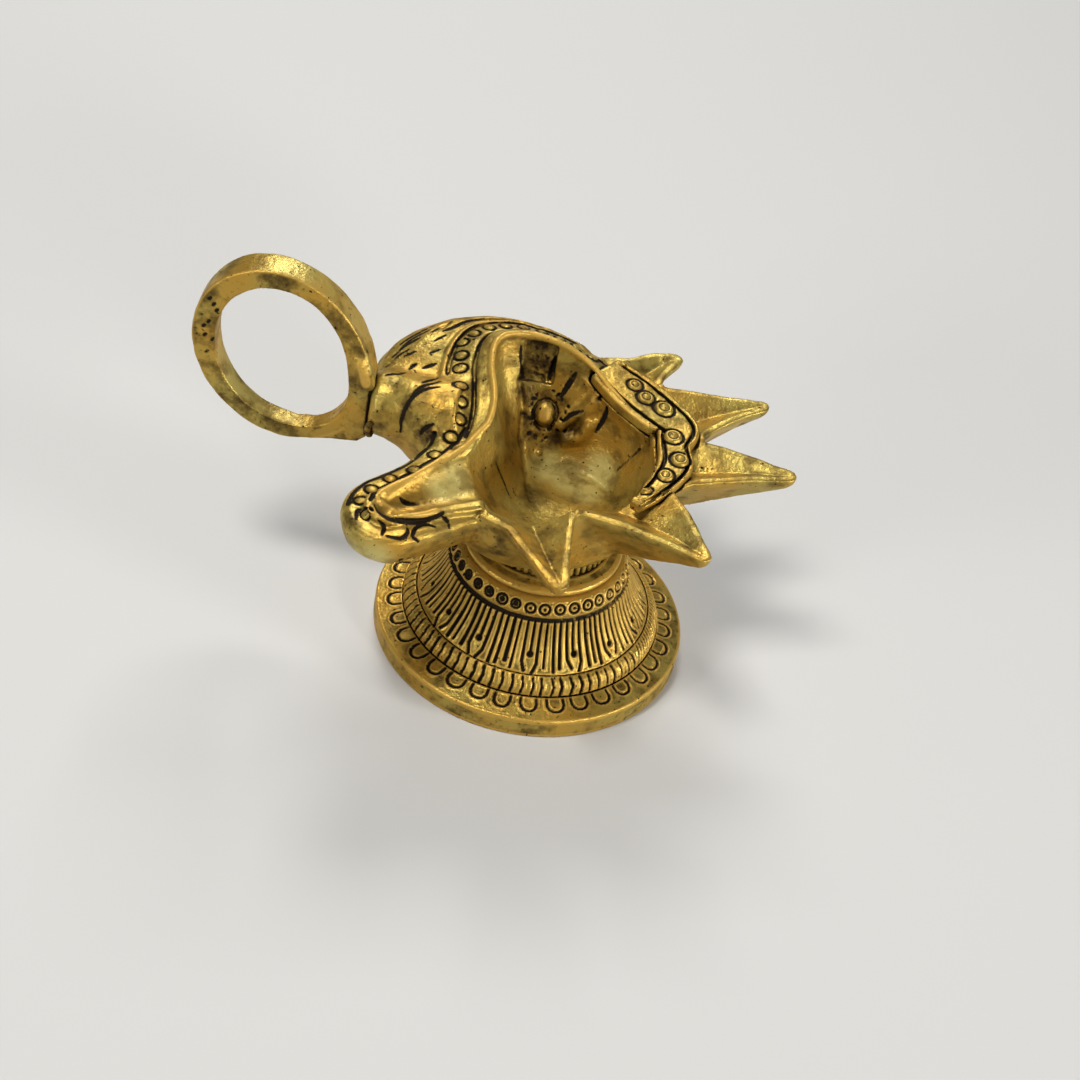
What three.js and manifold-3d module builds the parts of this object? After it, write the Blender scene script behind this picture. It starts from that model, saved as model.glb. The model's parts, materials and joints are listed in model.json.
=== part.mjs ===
// Brass hand lamp in the shape of a conch, with five wick spouts, a finger ring and a bell foot.
// Millimetres, +Z up. Until the last lines the foot's axis is x = y = 0 and the floor is z = 0.
import * as THREE from 'three';
import { mergeVertices } from 'three/addons/utils/BufferGeometryUtils.js';
import Module from 'manifold-3d';

const wasm = await Module();
wasm.setup();

// Clearances between pieces
const JOINT_GAP = 0.3;

// Foot, a hollow turned bell
const FOOT_RADIUS = 32;
const FLANGE_HEIGHT = 4.4;
const BELL_BASE_RADIUS = 24.4;
const BELL_BASE_Z = 8.3;
const BELL_TOP_RADIUS = 18.5;
const BELL_TOP_Z = 19;
const CROWN_RADIUS = 16.6;
const CROWN_Z = 22.9;
const FOOT_WALL = 2.6;
const CROWN_THICKNESS = 3.2;

// Collar and fluted neck between foot and bowl
const COLLAR_RADIUS = 14.6;
const COLLAR_HEIGHT = 2.2;
const NECK_RADIUS = 13;
const NECK_WAIST_RADIUS = 12.4;
const NECK_HEIGHT = 2.4;

// Spigot under the bowl, with the washer and nut that hold the foot on
const SPIGOT_RADIUS = 4;
const SPIGOT_REACH = 5.2;
const WASHER_RADIUS = 8.5;
const WASHER_THICKNESS = 1.2;
const NUT_ACROSS_FLATS = 12;
const NUT_HEIGHT = 4.4;

// Bowl, measured from its own axis, which stands a little behind the foot's
const BOWL_AXIS_Y = 3;
const SEAT_RADIUS = 13.6;
const FLOOR_X = 3.5;
const FLOOR_Y = 4.5;
const FLOOR_RADIUS = 8;
const BOWL_FLOOR_THICKNESS = 4.2;
const BELLY_TAPER = 1.35;
const LIP_WIDTH = 3.6;
const LIP_FALL = 1.1;
const BAND_STEP = 0.9;

// Rim plane that the spouts are cut at
const RIM_FRONT_Z = 46;
const RIM_BACK_Z = 48.8;

// Each spout is a V hull with a straight keel, and holds a V trough with two flat faces
const SPOUT_HUB = [1, 4];
const SPOUT_EDGE = 1.1;
const SPOUT_LAND = 1.3;
const SPOUT_TIP_DEPTH = 3.4;
const SPOUT_TIP_HALF = 0.3;
const HULL_SLOPE = 1.62;
const KEEL_START = 0.3;
const KEEL_BOW = 1.2;
const KEEL_FLAT = 0.92;
const HULL_STATIONS = [0, 0.15, 0.3, 0.45, 0.6, 0.75, 0.88];
const TROUGH_SLOPE = 0.62;
const TROUGH_OPEN = 5;

// Canal at the front left, and the open tongue in it
const CANAL_RADIUS = 8.7;
const CANAL_END = { x: -29.4, y: -25.2 };
const CANAL_ROOT = { x: -12.4, y: -11 };
const CANAL_TOP_Z = 45.3;
const CANAL_DEPTH = 8.4;
const TONGUE_TIP_RADIUS = 3.1;
const TONGUE_ROOT_RADIUS = 6.4;
const TONGUE_RIM = 1.7;
const TONGUE_RISE = 0.9;
const TONGUE_TIP_DEPTH = 1.6;
const TONGUE_ROOT_DEPTH = 3.4;

// Spire at the left, which carries the finger ring
const SPIRE_RADIUS = 6.9;
const SPIRE_FLATTEN = 0.86;
const SPIRE_Y = 4.6;
const SPIRE_Z = 46.4;
const SPIRE_END_X = -38.4;
const SPIRE_ROOT_X = -22;

// Finger ring, a flat oval band standing in the X-Z plane
const RING_X = -56.5;
const RING_Z = 54.6;
const RING_HOLE_LONG = 16.2;
const RING_HOLE_SHORT = 13.2;
const RING_HOLE_TILT = 107;
const RING_CORNER = 1.8;
const RING_CORNER_TURN = -50;
const RING_BAND = 3.5;
const RING_OUTER_TILT = 116;
const RING_THICKNESS = 5.9;
const RING_EDGE = 0.7;
const LUG_TOP_Z = 53.2;
const LUG_BOTTOM_Z = 38.2;
const TENON_RADIUS = 2.4;
const TENON_LENGTH = 6;
const BRAZE_RADIUS = 0.9;
const BRAZE_FROM = 192;
const BRAZE_TO = 238;

// Bead strap along the outer lip
const STRAP_THICKNESS = 2.4;
const STRAP_LIFT = 0.8;

const AROUND = 72;
const FINEST_DETAIL = 0.02;

// Heights that follow from the stack
const SEAT_Z = CROWN_Z + COLLAR_HEIGHT + NECK_HEIGHT + 3 * JOINT_GAP;
const FLOOR_Z = SEAT_Z + BOWL_FLOOR_THICKNESS;

// One row for each direction from the bowl's axis, in degrees from +X towards +Y:
// crest radius and height, outer edge of the bead band, widest radius and its height.
const WHORL = [
  [0, 18.8, 48.0, 19.8, 46.6, 20.5, 43],
  [22, 17.6, 48.5, 18.8, 47.2, 20.0, 44],
  [45, 15.9, 49.8, 18.4, 48.4, 20.6, 45],
  [65, 15.9, 51.7, 21.0, 49.0, 23.2, 46],
  [85, 17.6, 54.5, 26.0, 50.8, 27.8, 47],
  [105, 19.8, 56.5, 29.0, 52.4, 31.8, 47.5],
  [120, 22.2, 57.0, 31.6, 53.2, 35.6, 47.5],
  [135, 22.9, 57.0, 32.3, 53.7, 39.0, 48],
  [150, 19.2, 55.6, 30.0, 53.1, 41.4, 48],
  [165, 15.4, 53.2, 27.0, 51.0, 41.0, 47.5],
  [177, 14.4, 51.0, 25.0, 48.8, 37.0, 45.5],
  [188, 15.0, 49.4, 24.4, 46.6, 28.0, 43],
  [200, 17.2, 47.8, 24.6, 45.4, 25.4, 42.5],
  [213, 20.6, 46.7, 25.2, 45.0, 26.0, 42],
  [225, 22.5, 46.0, 26.5, 45.0, 27.8, 41],
  [240, 25.0, 45.8, 27.0, 44.8, 27.8, 41.5],
  [255, 24.6, 45.8, 26.0, 44.8, 26.8, 42],
  [270, 21.3, 45.4, 22.4, 44.6, 23.2, 42],
  [290, 19.0, 46.0, 20.0, 45.2, 20.8, 42.5],
  [310, 18.6, 46.4, 19.6, 45.6, 20.4, 43],
  [335, 18.9, 47.1, 19.9, 46.0, 20.6, 43],
];

// Spouts, each with its left and right root, its tip, the corners of its sides, and how far its trough
// runs on into the bowl
const SPOUTS = [
  {
    root: [[-12.7, -22.5], [5.2, -17]],
    tip: [4.9, -38],
    inward: 6,
    sides: [[[-7.3, -25.1], [-3.1, -30.2], [2.2, -36.6]], [[5.7, -33], [5.3, -26]]],
  },
  {
    root: [[5.2, -17], [21.5, -4]],
    tip: [31.2, -22.4],
    inward: 7,
    sides: [[[14.6, -18.2], [23.6, -20.7]], [[29.6, -16.8], [26.4, -10.2]]],
  },
  {
    root: [[21.5, -4], [26.5, 11.6]],
    tip: [46.4, 6.3],
    inward: 3,
    sides: [[[27.8, -1.5], [36.6, 2.2]], [[38.3, 9.6], [31.2, 11]]],
  },
  {
    root: [[26.5, 11.6], [17.2, 25.8]],
    tip: [39.7, 26.6],
    inward: 1,
    sides: [[[30.9, 17.5], [35.4, 22]], [[31.2, 27], [24.2, 26.6]]],
  },
  {
    root: [[17.2, 25.8], [3.4, 31.1]],
    tip: [20.5, 36.8],
    inward: 0.5,
    sides: [[[17.9, 29.6]], [[14.6, 36.4], [9, 32.8]]],
  },
];

// Bead strap: centre line and half width
const STRAP = [
  [5.2, 23.4, 52.0, 4.2],
  [11.6, 18.9, 51.0, 5.6],
  [17.0, 15.2, 50.2, 5.6],
  [21.4, 11.6, 49.6, 4.6],
  [21.4, 6.6, 49.2, 3.2],
  [22.2, 1.2, 48.7, 3.4],
  [19.8, -5.0, 48.0, 2.3],
  [15.6, -11.2, 47.2, 1.2],
];

const brass = (colour, roughness) => new THREE.MeshStandardMaterial({
  color: colour, roughness, metalness: 1,
});
const castBrass = brass(0xb08d3a, 0.38);
const turnedBrass = brass(0xbc9940, 0.34);
const brazeMetal = brass(0x6f5a2c, 0.6);

const polar = (degrees, radius, centreY = 0) => {
  const a = THREE.MathUtils.degToRad(degrees);
  return new THREE.Vector2(radius * Math.cos(a), centreY + radius * Math.sin(a));
};
const lift = (point, z) => new THREE.Vector3(point.x, point.y, z);
const mix = (a, b, t) => a + (b - a) * t;
const rimZ = (y) => mix(RIM_FRONT_Z, RIM_BACK_Z, (y + 38) / 76);

// Turn a closed triangle mesh into a solid, with its faces pointing out
function toSolid(geometry) {
  const bare = geometry.clone();
  bare.deleteAttribute('normal');
  bare.deleteAttribute('uv');
  const merged = mergeVertices(bare, 1e-5);
  const vertProperties = new Float32Array(merged.attributes.position.array);
  const triVerts = new Uint32Array(merged.index.array);
  return new wasm.Manifold(new wasm.Mesh({ numProp: 3, vertProperties, triVerts }));
}

function toGeometry(solid) {
  const mesh = solid.getMesh();
  const geometry = new THREE.BufferGeometry();
  geometry.setAttribute('position', new THREE.BufferAttribute(mesh.vertProperties, 3));
  geometry.setIndex(new THREE.BufferAttribute(mesh.triVerts, 1));
  geometry.computeVertexNormals();
  return geometry;
}

// The largest body of a solid, without slivers that cuts leave where they meet
const mainBody = (solid) => solid.decompose().sort((a, b) => b.volume() - a.volume())[0];

// Skin over closed rings of equal count, with a fan over each end
function loft(rings) {
  const count = rings[0].length;
  const points = rings.flat();
  const triangles = [];
  for (let row = 0; row + 1 < rings.length; row += 1) {
    for (let i = 0; i < count; i += 1) {
      const a = row * count + i;
      const b = row * count + (i + 1) % count;
      triangles.push([a, b, b + count], [a, b + count, a + count]);
    }
  }
  [rings[0], rings[rings.length - 1]].forEach((ring, end) => {
    const middle = ring.reduce((sum, p) => sum.add(p), new THREE.Vector3()).divideScalar(count);
    const start = end * (rings.length - 1) * count;
    points.push(middle);
    for (let i = 0; i < count; i += 1) {
      const pair = [start + i, start + (i + 1) % count];
      triangles.push(end ? [pair[0], pair[1], points.length - 1] : [pair[1], pair[0], points.length - 1]);
    }
  });
  const volume = triangles.reduce((sum, [a, b, c]) => (
    sum + points[a].dot(points[b].clone().cross(points[c]))), 0);
  const facing = volume < 0 ? triangles.map(([a, b, c]) => [a, c, b]) : triangles;
  const geometry = new THREE.BufferGeometry().setFromPoints(points);
  geometry.setIndex(facing.flat());
  return geometry;
}

// A smooth closed ring through points, sampled evenly in their own order
function smoothRing(points, samples = AROUND) {
  const curve = new THREE.CatmullRomCurve3(points, true, 'centripetal');
  return Array.from({ length: samples }, (_, i) => curve.getPoint(i / samples));
}

// A ring of one radius around the foot's axis, in the whorl's own order of directions
const seatRing = (radius, z) => smoothRing(WHORL.map(([angle]) => lift(polar(angle, radius), z)));

function whorlSolid() {
  const ring = (place) => smoothRing(WHORL.map(([angle, ...sizes]) => {
    const [radius, z] = place(...sizes);
    return lift(polar(angle, radius, BOWL_AXIS_Y), z);
  }));
  const widest = ring((crest, crestZ, band, bandZ, wide, wideZ) => [wide, wideZ]);
  const seat = seatRing(SEAT_RADIUS, SEAT_Z);
  const under = [80, 60, 40, 20].map((degrees) => {
    const a = THREE.MathUtils.degToRad(degrees);
    return widest.map((p, i) => lift(
      new THREE.Vector2(
        mix(seat[i].x, p.x, Math.cos(a) ** BELLY_TAPER),
        mix(seat[i].y, p.y, Math.cos(a) ** BELLY_TAPER),
      ),
      mix(p.z, SEAT_Z, Math.sin(a)),
    ));
  });
  const lip = (crest, band) => Math.min(LIP_WIDTH, 0.45 * (band - crest));
  return toSolid(loft([
    seat,
    ...under,
    widest,
    ring((crest, crestZ, band, bandZ, wide, wideZ) => [mix(band, wide, 0.88), mix(bandZ, wideZ, 0.42)]),
    ring((crest, crestZ, band, bandZ, wide, wideZ) => [mix(band, wide, 0.55), mix(bandZ, wideZ, 0.1)]),
    ring((crest, crestZ, band, bandZ) => [band, bandZ]),
    ring((crest, crestZ, band, bandZ) => [
      crest + 1.15 * lip(crest, band), mix(crestZ, bandZ, 0.3) - BAND_STEP,
    ]),
    ring((crest, crestZ, band) => [crest + lip(crest, band), crestZ - LIP_FALL]),
    ring((crest, crestZ) => [crest + 0.5, crestZ]),
    ring((crest, crestZ) => [crest - 2.5, crestZ - 0.4]),
  ]));
}

// The bowl's hollow, from its floor to above its crest
function hollowSolid() {
  const crest = smoothRing(WHORL.map(([angle, radius, z]) => (
    lift(polar(angle, radius, BOWL_AXIS_Y), z))));
  const floor = new THREE.Vector3(FLOOR_X, FLOOR_Y, FLOOR_Z);
  const level = (share, reach) => crest.map((p) => {
    const out = new THREE.Vector2(p.x - floor.x, p.y - floor.y);
    const length = mix(FLOOR_RADIUS, out.length(), reach);
    out.setLength(length);
    return new THREE.Vector3(floor.x + out.x, floor.y + out.y, mix(FLOOR_Z, p.z, share));
  });
  const rings = [
    [0, 0], [0.06, 0.2], [0.18, 0.42], [0.36, 0.62], [0.6, 0.8], [0.84, 0.94], [1, 1], [1.6, 1.1],
  ];
  return toSolid(loft(rings.map(([share, reach]) => level(share, reach))));
}

// A place on a bent line, at a share of its whole length
function alongLine(line, share) {
  const lengths = line.slice(1).map((p, i) => p.distanceTo(line[i]));
  let left = share * lengths.reduce((sum, length) => sum + length, 0);
  let k = 0;
  while (k < lengths.length - 1 && left > lengths[k]) {
    left -= lengths[k];
    k += 1;
  }
  return line[k].clone().lerp(line[k + 1], left / lengths[k]);
}

// The two side lines of a spout, from its root to its tip
const sideLines = ({ root, tip, sides }) => [
  [root[0], ...sides[0], tip],
  [root[1], ...sides[1].slice().reverse(), tip],
].map((line) => line.map(([x, y]) => new THREE.Vector2(x, y)));

// Least distance from a place to a bent line
function gapTo(line, place) {
  return Math.min(...line.slice(1).map((b, i) => {
    const run = b.clone().sub(line[i]);
    const share = THREE.MathUtils.clamp(place.clone().sub(line[i]).dot(run) / run.lengthSq(), 0, 1);
    return place.distanceTo(line[i].clone().addScaledVector(run, share));
  }));
}

// Stations of a spout from inside its root to near its tip, each with its two ends, its middle, and the
// distance from there to the nearer side
function stationsOf(spout, inner, shares) {
  const lines = sideLines(spout);
  const pairs = [inner, ...shares.map((share) => lines.map((line) => alongLine(line, share)))];
  const whole = lines.map((line, i) => [inner[i], ...line]);
  return pairs.map((ends) => {
    const middle = ends[0].clone().lerp(ends[1], 0.5);
    return { ends, middle, gap: Math.min(...whole.map((line) => gapTo(line, middle))) };
  });
}

// Hull of one spout: upright edges under the rim, sides that slope in, and a keel down to the seat
function hullSolid(spout) {
  const hub = new THREE.Vector2(...SPOUT_HUB);
  const tip = new THREE.Vector2(...spout.tip);
  const out = tip.clone().sub(hub);
  const keelZ = (place) => {
    const run = place.clone().sub(hub).dot(out) / out.lengthSq();
    const share = THREE.MathUtils.clamp((run - KEEL_START) / (1 - KEEL_START), 0, 1);
    return mix(SEAT_Z, rimZ(tip.y) - SPOUT_TIP_DEPTH, share) - KEEL_BOW * Math.sin(Math.PI * share);
  };
  const row = (ends, drop, inset) => {
    const middle = ends[0].clone().lerp(ends[1], 0.5);
    const [left, right] = ends.map((p) => [
      lift(p, rimZ(p.y)),
      lift(p, rimZ(p.y) - SPOUT_EDGE),
      lift(p.clone().lerp(middle, inset), rimZ(p.y) - SPOUT_EDGE - drop),
    ]);
    return [...left, ...right.reverse()];
  };
  const inner = sideLines(spout).map((line) => line[0].clone().lerp(hub, 0.5));
  const rows = stationsOf(spout, inner, HULL_STATIONS).map(({ ends, middle, gap }) => {
    const deepest = HULL_SLOPE * gap;
    const drop = Math.min(rimZ(middle.y) - SPOUT_EDGE - keelZ(middle), KEEL_FLAT * deepest);
    return row(ends, drop, drop / deepest);
  });
  const aside = new THREE.Vector2(-out.y, out.x).setLength(SPOUT_TIP_HALF);
  if (aside.dot(inner[0].clone().sub(inner[1])) < 0) aside.negate();
  const end = [tip.clone().add(aside), tip.clone().sub(aside)];
  rows.push(row(end, SPOUT_TIP_DEPTH - SPOUT_EDGE, 0));
  return toSolid(loft(rows));
}

// V trough of one spout, open above and into the bowl
function troughSolid(spout) {
  const [left, right] = sideLines(spout).map((line) => line[0]);
  const inward = left.clone().lerp(right, 0.5).sub(new THREE.Vector2(...spout.tip)).setLength(spout.inward);
  const inner = [left, right].map((p) => p.clone().add(inward));
  const shares = Array.from({ length: 10 }, (_, i) => i / 10);
  const wide = stationsOf(spout, inner, shares).filter(({ gap }) => gap > SPOUT_LAND + 0.2);
  return toSolid(loft(wide.map(({ ends, middle, gap }) => {
    const depth = TROUGH_SLOPE * (gap - SPOUT_LAND);
    const spread = (1 - SPOUT_LAND / gap) * (depth + TROUGH_OPEN) / depth;
    const z = rimZ(middle.y);
    const [a, b] = ends.map((p) => lift(middle.clone().lerp(p, spread), z + TROUGH_OPEN));
    return [a, lift(middle, z - depth), b];
  })));
}

// Round-ended bar seen from above, from one point to another
function stadium(from, to, radiusFrom, radiusTo, z, samples = 32) {
  const axis = new THREE.Vector2(to.x - from.x, to.y - from.y);
  const heading = Math.atan2(axis.y, axis.x);
  return Array.from({ length: samples }, (_, i) => {
    const turn = (i + 0.5) / samples * 2 * Math.PI;
    const atEnd = Math.cos(turn) > 0;
    const centre = atEnd ? to : from;
    const radius = atEnd ? radiusTo : radiusFrom;
    return new THREE.Vector3(
      centre.x + radius * Math.cos(heading + turn),
      centre.y + radius * Math.sin(heading + turn),
      z,
    );
  });
}

const between = (from, to, share) => ({ x: mix(from.x, to.x, share), y: mix(from.y, to.y, share) });

function canalSolid() {
  const rows = [
    [CANAL_DEPTH, 0.5], [0.86 * CANAL_DEPTH, 0.78], [0.55 * CANAL_DEPTH, 0.97],
    [0.25 * CANAL_DEPTH, 1], [0.05 * CANAL_DEPTH, 0.93], [0, 0.82],
  ];
  return toSolid(loft(rows.map(([drop, share]) => (
    stadium(CANAL_ROOT, CANAL_END, CANAL_RADIUS * share, CANAL_RADIUS * share, CANAL_TOP_Z - drop)))));
}

function tongueRim() {
  const root = between(CANAL_ROOT, CANAL_END, 0.2);
  return toSolid(loft([[-3.4, 1.1], [0, 1], [TONGUE_RISE, 0.62]].map(([rise, share]) => (
    stadium(
      root, CANAL_END,
      TONGUE_ROOT_RADIUS + TONGUE_RIM * share, TONGUE_TIP_RADIUS + TONGUE_RIM * share,
      CANAL_TOP_Z + rise,
    )))));
}

function tongueHollow() {
  const root = between(CANAL_ROOT, CANAL_END, 0.05);
  const top = CANAL_TOP_Z + TONGUE_RISE;
  const level = (share, down, extra) => {
    const ring = stadium(
      root, CANAL_END,
      TONGUE_ROOT_RADIUS * share + extra, TONGUE_TIP_RADIUS * share + extra, 0,
    );
    const length = Math.hypot(CANAL_END.x - root.x, CANAL_END.y - root.y);
    return ring.map((p) => {
      const out = Math.hypot(p.x - root.x, p.y - root.y) / length;
      const depth = mix(TONGUE_ROOT_DEPTH, TONGUE_TIP_DEPTH, THREE.MathUtils.clamp(out, 0, 1));
      return new THREE.Vector3(p.x, p.y, top - depth * down);
    });
  };
  return toSolid(loft([level(0.3, 1, 0), level(0.7, 0.75, 0), level(1, 0, 0), level(1, -2, 1)]));
}

// Barrel of the spire, round about an axis along X
function spireSolid() {
  const rows = [
    [SPIRE_ROOT_X, 0.93], [-29, 0.91], [-31, 0.88], [-34.2, 0.99], [-35.8, 1],
    [SPIRE_END_X + 1.2, 0.97], [SPIRE_END_X, 0.84],
  ];
  return toSolid(loft(rows.map(([x, share]) => (
    Array.from({ length: 28 }, (_, i) => {
      const a = i / 28 * 2 * Math.PI;
      const radius = SPIRE_RADIUS * share;
      const y = SPIRE_Y + SPIRE_FLATTEN * radius * Math.cos(a);
      return new THREE.Vector3(x, y, SPIRE_Z + radius * Math.sin(a));
    })))));
}

function spigotSolid(radius, bottomZ, topZ, samples = 32) {
  const ring = (r, z) => Array.from({ length: samples }, (_, i) => lift(polar(360 * i / samples, r), z));
  return toSolid(loft([ring(radius - 0.5, bottomZ), ring(radius, bottomZ + 0.5), ring(radius, topZ)]));
}

// Round rod along X, for the ring's tenon and its socket
function rodAlongX(fromX, toX, radius, samples = 24) {
  return toSolid(loft([fromX, toX].map((x) => (
    Array.from({ length: samples }, (_, i) => {
      const a = i / samples * 2 * Math.PI;
      return new THREE.Vector3(x, SPIRE_Y + radius * Math.cos(a), SPIRE_Z + radius * Math.sin(a));
    })))));
}

// The strap's own bar, or with a clearance the seat that it lies in
function strapSolid(clearance) {
  const path = new THREE.CatmullRomCurve3(
    STRAP.map(([x, y, z]) => new THREE.Vector3(x, y, z + STRAP_LIFT)), false, 'centripetal',
  );
  const widths = new THREE.CatmullRomCurve3(
    STRAP.map((row) => new THREE.Vector3(row[3], 0, 0)), false, 'centripetal',
  );
  const steps = 28;
  const rings = Array.from({ length: steps + 1 }, (_, i) => {
    const t = i / steps;
    const stretch = clearance ? (t - 0.5) * 0.02 : 0;
    const at = path.getPoint(THREE.MathUtils.clamp(t + stretch, 0, 1));
    const run = path.getTangent(t);
    if (i === 0) at.addScaledVector(run, -clearance);
    if (i === steps) at.addScaledVector(run, clearance);
    const across = new THREE.Vector3(run.y, -run.x, 0).normalize();
    const half = widths.getPoint(t).x + clearance;
    const top = clearance ? 12 : 0;
    const bottom = -STRAP_THICKNESS - clearance;
    const corner = (side, z) => at.clone().addScaledVector(across, side * half).setZ(at.z + z);
    return [
      corner(-0.9, bottom), corner(-1, bottom + 0.7), corner(-1, top - 0.5), corner(-0.86, top),
      corner(0.86, top), corner(1, top - 0.5), corner(1, bottom + 0.7), corner(0.9, bottom),
    ];
  });
  return toSolid(loft(rings));
}

function conchBowl() {
  const spigotFoot = CROWN_Z - CROWN_THICKNESS - SPIGOT_REACH - WASHER_THICKNESS - JOINT_GAP;
  let solid = whorlSolid().add(canalSolid()).add(tongueRim()).add(spireSolid());
  SPOUTS.forEach((spout) => {
    solid = solid.add(hullSolid(spout));
  });
  solid = solid.add(spigotSolid(SPIGOT_RADIUS, spigotFoot, SEAT_Z + 1));
  solid = solid.subtract(hollowSolid()).subtract(tongueHollow());
  SPOUTS.forEach((spout) => {
    solid = solid.subtract(troughSolid(spout));
  });
  const socket = rodAlongX(SPIRE_END_X - 1, SPIRE_END_X + TENON_LENGTH + JOINT_GAP, TENON_RADIUS + JOINT_GAP);
  return mainBody(solid.subtract(socket).subtract(strapSolid(JOINT_GAP)).simplify(FINEST_DETAIL));
}

// Oval of the ring's hole, grown by a margin and drawn out at its lower right,
// in the ring's own X-Z plane
function ringOval(margin, degrees, corner, samples = 56) {
  const tilt = THREE.MathUtils.degToRad(degrees);
  const towards = polar(RING_CORNER_TURN, 1);
  return Array.from({ length: samples }, (_, i) => {
    const a = i / samples * 2 * Math.PI;
    const long = (RING_HOLE_LONG + margin) * Math.cos(a);
    const short = (RING_HOLE_SHORT + margin) * Math.sin(a);
    const out = new THREE.Vector2(
      long * Math.cos(tilt) - short * Math.sin(tilt),
      long * Math.sin(tilt) + short * Math.cos(tilt),
    );
    const near = Math.max(0, out.clone().normalize().dot(towards));
    out.setLength(out.length() + corner * near ** 6);
    return new THREE.Vector2(RING_X + out.x, RING_Z + out.y);
  });
}

// Flat piece standing in the X-Z plane, centred on the spire's axis, with eased edges
function uprightPlate(outline, thickness) {
  const shape = new THREE.Shape(outline);
  const geometry = new THREE.ExtrudeGeometry(shape, {
    depth: thickness - 2 * RING_EDGE, bevelThickness: RING_EDGE, bevelSize: RING_EDGE,
    bevelOffset: -RING_EDGE, bevelSegments: 2, steps: 1,
  });
  geometry.rotateX(Math.PI / 2);
  geometry.translate(0, SPIRE_Y + thickness / 2 - RING_EDGE, 0);
  return toSolid(geometry);
}

function handleRing() {
  const lugX = SPIRE_END_X - JOINT_GAP;
  const lug = uprightPlate([
    new THREE.Vector2(lugX, LUG_BOTTOM_Z),
    new THREE.Vector2(lugX, LUG_TOP_Z),
    new THREE.Vector2(lugX - 2.8, LUG_TOP_Z + 5.6),
    new THREE.Vector2(lugX - 6, LUG_TOP_Z + 6),
    new THREE.Vector2(lugX - 11, LUG_BOTTOM_Z - 2),
    new THREE.Vector2(lugX - 5, LUG_BOTTOM_Z - 1.9),
  ], RING_THICKNESS);
  const band = uprightPlate(ringOval(RING_BAND, RING_OUTER_TILT, 0), RING_THICKNESS);
  const hole = new THREE.ExtrudeGeometry(new THREE.Shape(ringOval(0, RING_HOLE_TILT, RING_CORNER)), {
    depth: RING_THICKNESS + 4, bevelEnabled: false, steps: 1,
  });
  hole.rotateX(Math.PI / 2);
  hole.translate(0, SPIRE_Y + RING_THICKNESS / 2 + 2, 0);
  const tenon = rodAlongX(lugX - 1, SPIRE_END_X + TENON_LENGTH, TENON_RADIUS);
  return band.add(lug).subtract(toSolid(hole)).add(tenon);
}

// Line of hard solder left round the near lower side of the ring's joint
function brazeBead() {
  const reach = SPIRE_RADIUS + JOINT_GAP + BRAZE_RADIUS;
  const steps = 10;
  const rings = Array.from({ length: steps + 1 }, (_, i) => {
    const turn = THREE.MathUtils.degToRad(mix(BRAZE_FROM, BRAZE_TO, i / steps));
    const radius = BRAZE_RADIUS * (0.55 + 0.45 * Math.sin(Math.PI * i / steps));
    return Array.from({ length: 10 }, (_unused, j) => {
      const a = j / 10 * 2 * Math.PI;
      const out = reach + radius * Math.cos(a);
      return new THREE.Vector3(
        SPIRE_END_X + BRAZE_RADIUS + radius * Math.sin(a),
        SPIRE_Y + SPIRE_FLATTEN * out * Math.cos(turn),
        SPIRE_Z + out * Math.sin(turn),
      );
    });
  });
  return toGeometry(toSolid(loft(rings)));
}

function lathe(profile, segments = AROUND) {
  const points = [...profile, profile[0]].map(([r, z]) => new THREE.Vector2(r, z));
  const geometry = new THREE.LatheGeometry(points, segments);
  geometry.rotateX(Math.PI / 2);
  return geometry;
}

function footBell() {
  const bore = SPIGOT_RADIUS + JOINT_GAP;
  const ceiling = CROWN_Z - CROWN_THICKNESS;
  const bell = (share) => {
    const bow = 0.9 * Math.sin(Math.PI * share);
    return [mix(BELL_BASE_RADIUS, BELL_TOP_RADIUS, share) - bow, mix(BELL_BASE_Z, BELL_TOP_Z, share)];
  };
  return lathe([
    [FOOT_RADIUS, 0],
    [FOOT_RADIUS, 0.8 * FLANGE_HEIGHT],
    [FOOT_RADIUS - 0.7, FLANGE_HEIGHT],
    [FOOT_RADIUS - 4.6, FLANGE_HEIGHT + 0.9],
    [FOOT_RADIUS - 4.8, FLANGE_HEIGHT + 1.9],
    [BELL_BASE_RADIUS + 0.3, BELL_BASE_Z - 0.4],
    ...[0, 0.25, 0.5, 0.75, 1].map(bell),
    [BELL_TOP_RADIUS - 0.5, BELL_TOP_Z + 0.4],
    [BELL_TOP_RADIUS - 0.1, BELL_TOP_Z + 0.9],
    [CROWN_RADIUS + 0.5, CROWN_Z - 0.7],
    [CROWN_RADIUS, CROWN_Z],
    [bore, CROWN_Z],
    [bore, ceiling],
    [BELL_TOP_RADIUS - FOOT_WALL - 2, ceiling],
    [BELL_TOP_RADIUS - FOOT_WALL, BELL_TOP_Z - 3],
    [bell(0.4)[0] - FOOT_WALL, bell(0.4)[1] - 0.6],
    [BELL_BASE_RADIUS - FOOT_WALL + 0.6, BELL_BASE_Z - 2.4],
    [FOOT_RADIUS - 5.4, FLANGE_HEIGHT - 1.6],
    [FOOT_RADIUS - 4.2, 0.9],
    [FOOT_RADIUS - 3.8, 0],
  ]);
}

function seatCollar() {
  const z = CROWN_Z + JOINT_GAP;
  const bore = SPIGOT_RADIUS + JOINT_GAP;
  return lathe([
    [bore, z], [COLLAR_RADIUS - 0.9, z], [COLLAR_RADIUS - 0.2, z + 0.3 * COLLAR_HEIGHT],
    [COLLAR_RADIUS, z + 0.5 * COLLAR_HEIGHT], [COLLAR_RADIUS - 0.2, z + 0.75 * COLLAR_HEIGHT],
    [COLLAR_RADIUS - 0.9, z + COLLAR_HEIGHT], [bore, z + COLLAR_HEIGHT],
  ], 56);
}

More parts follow.
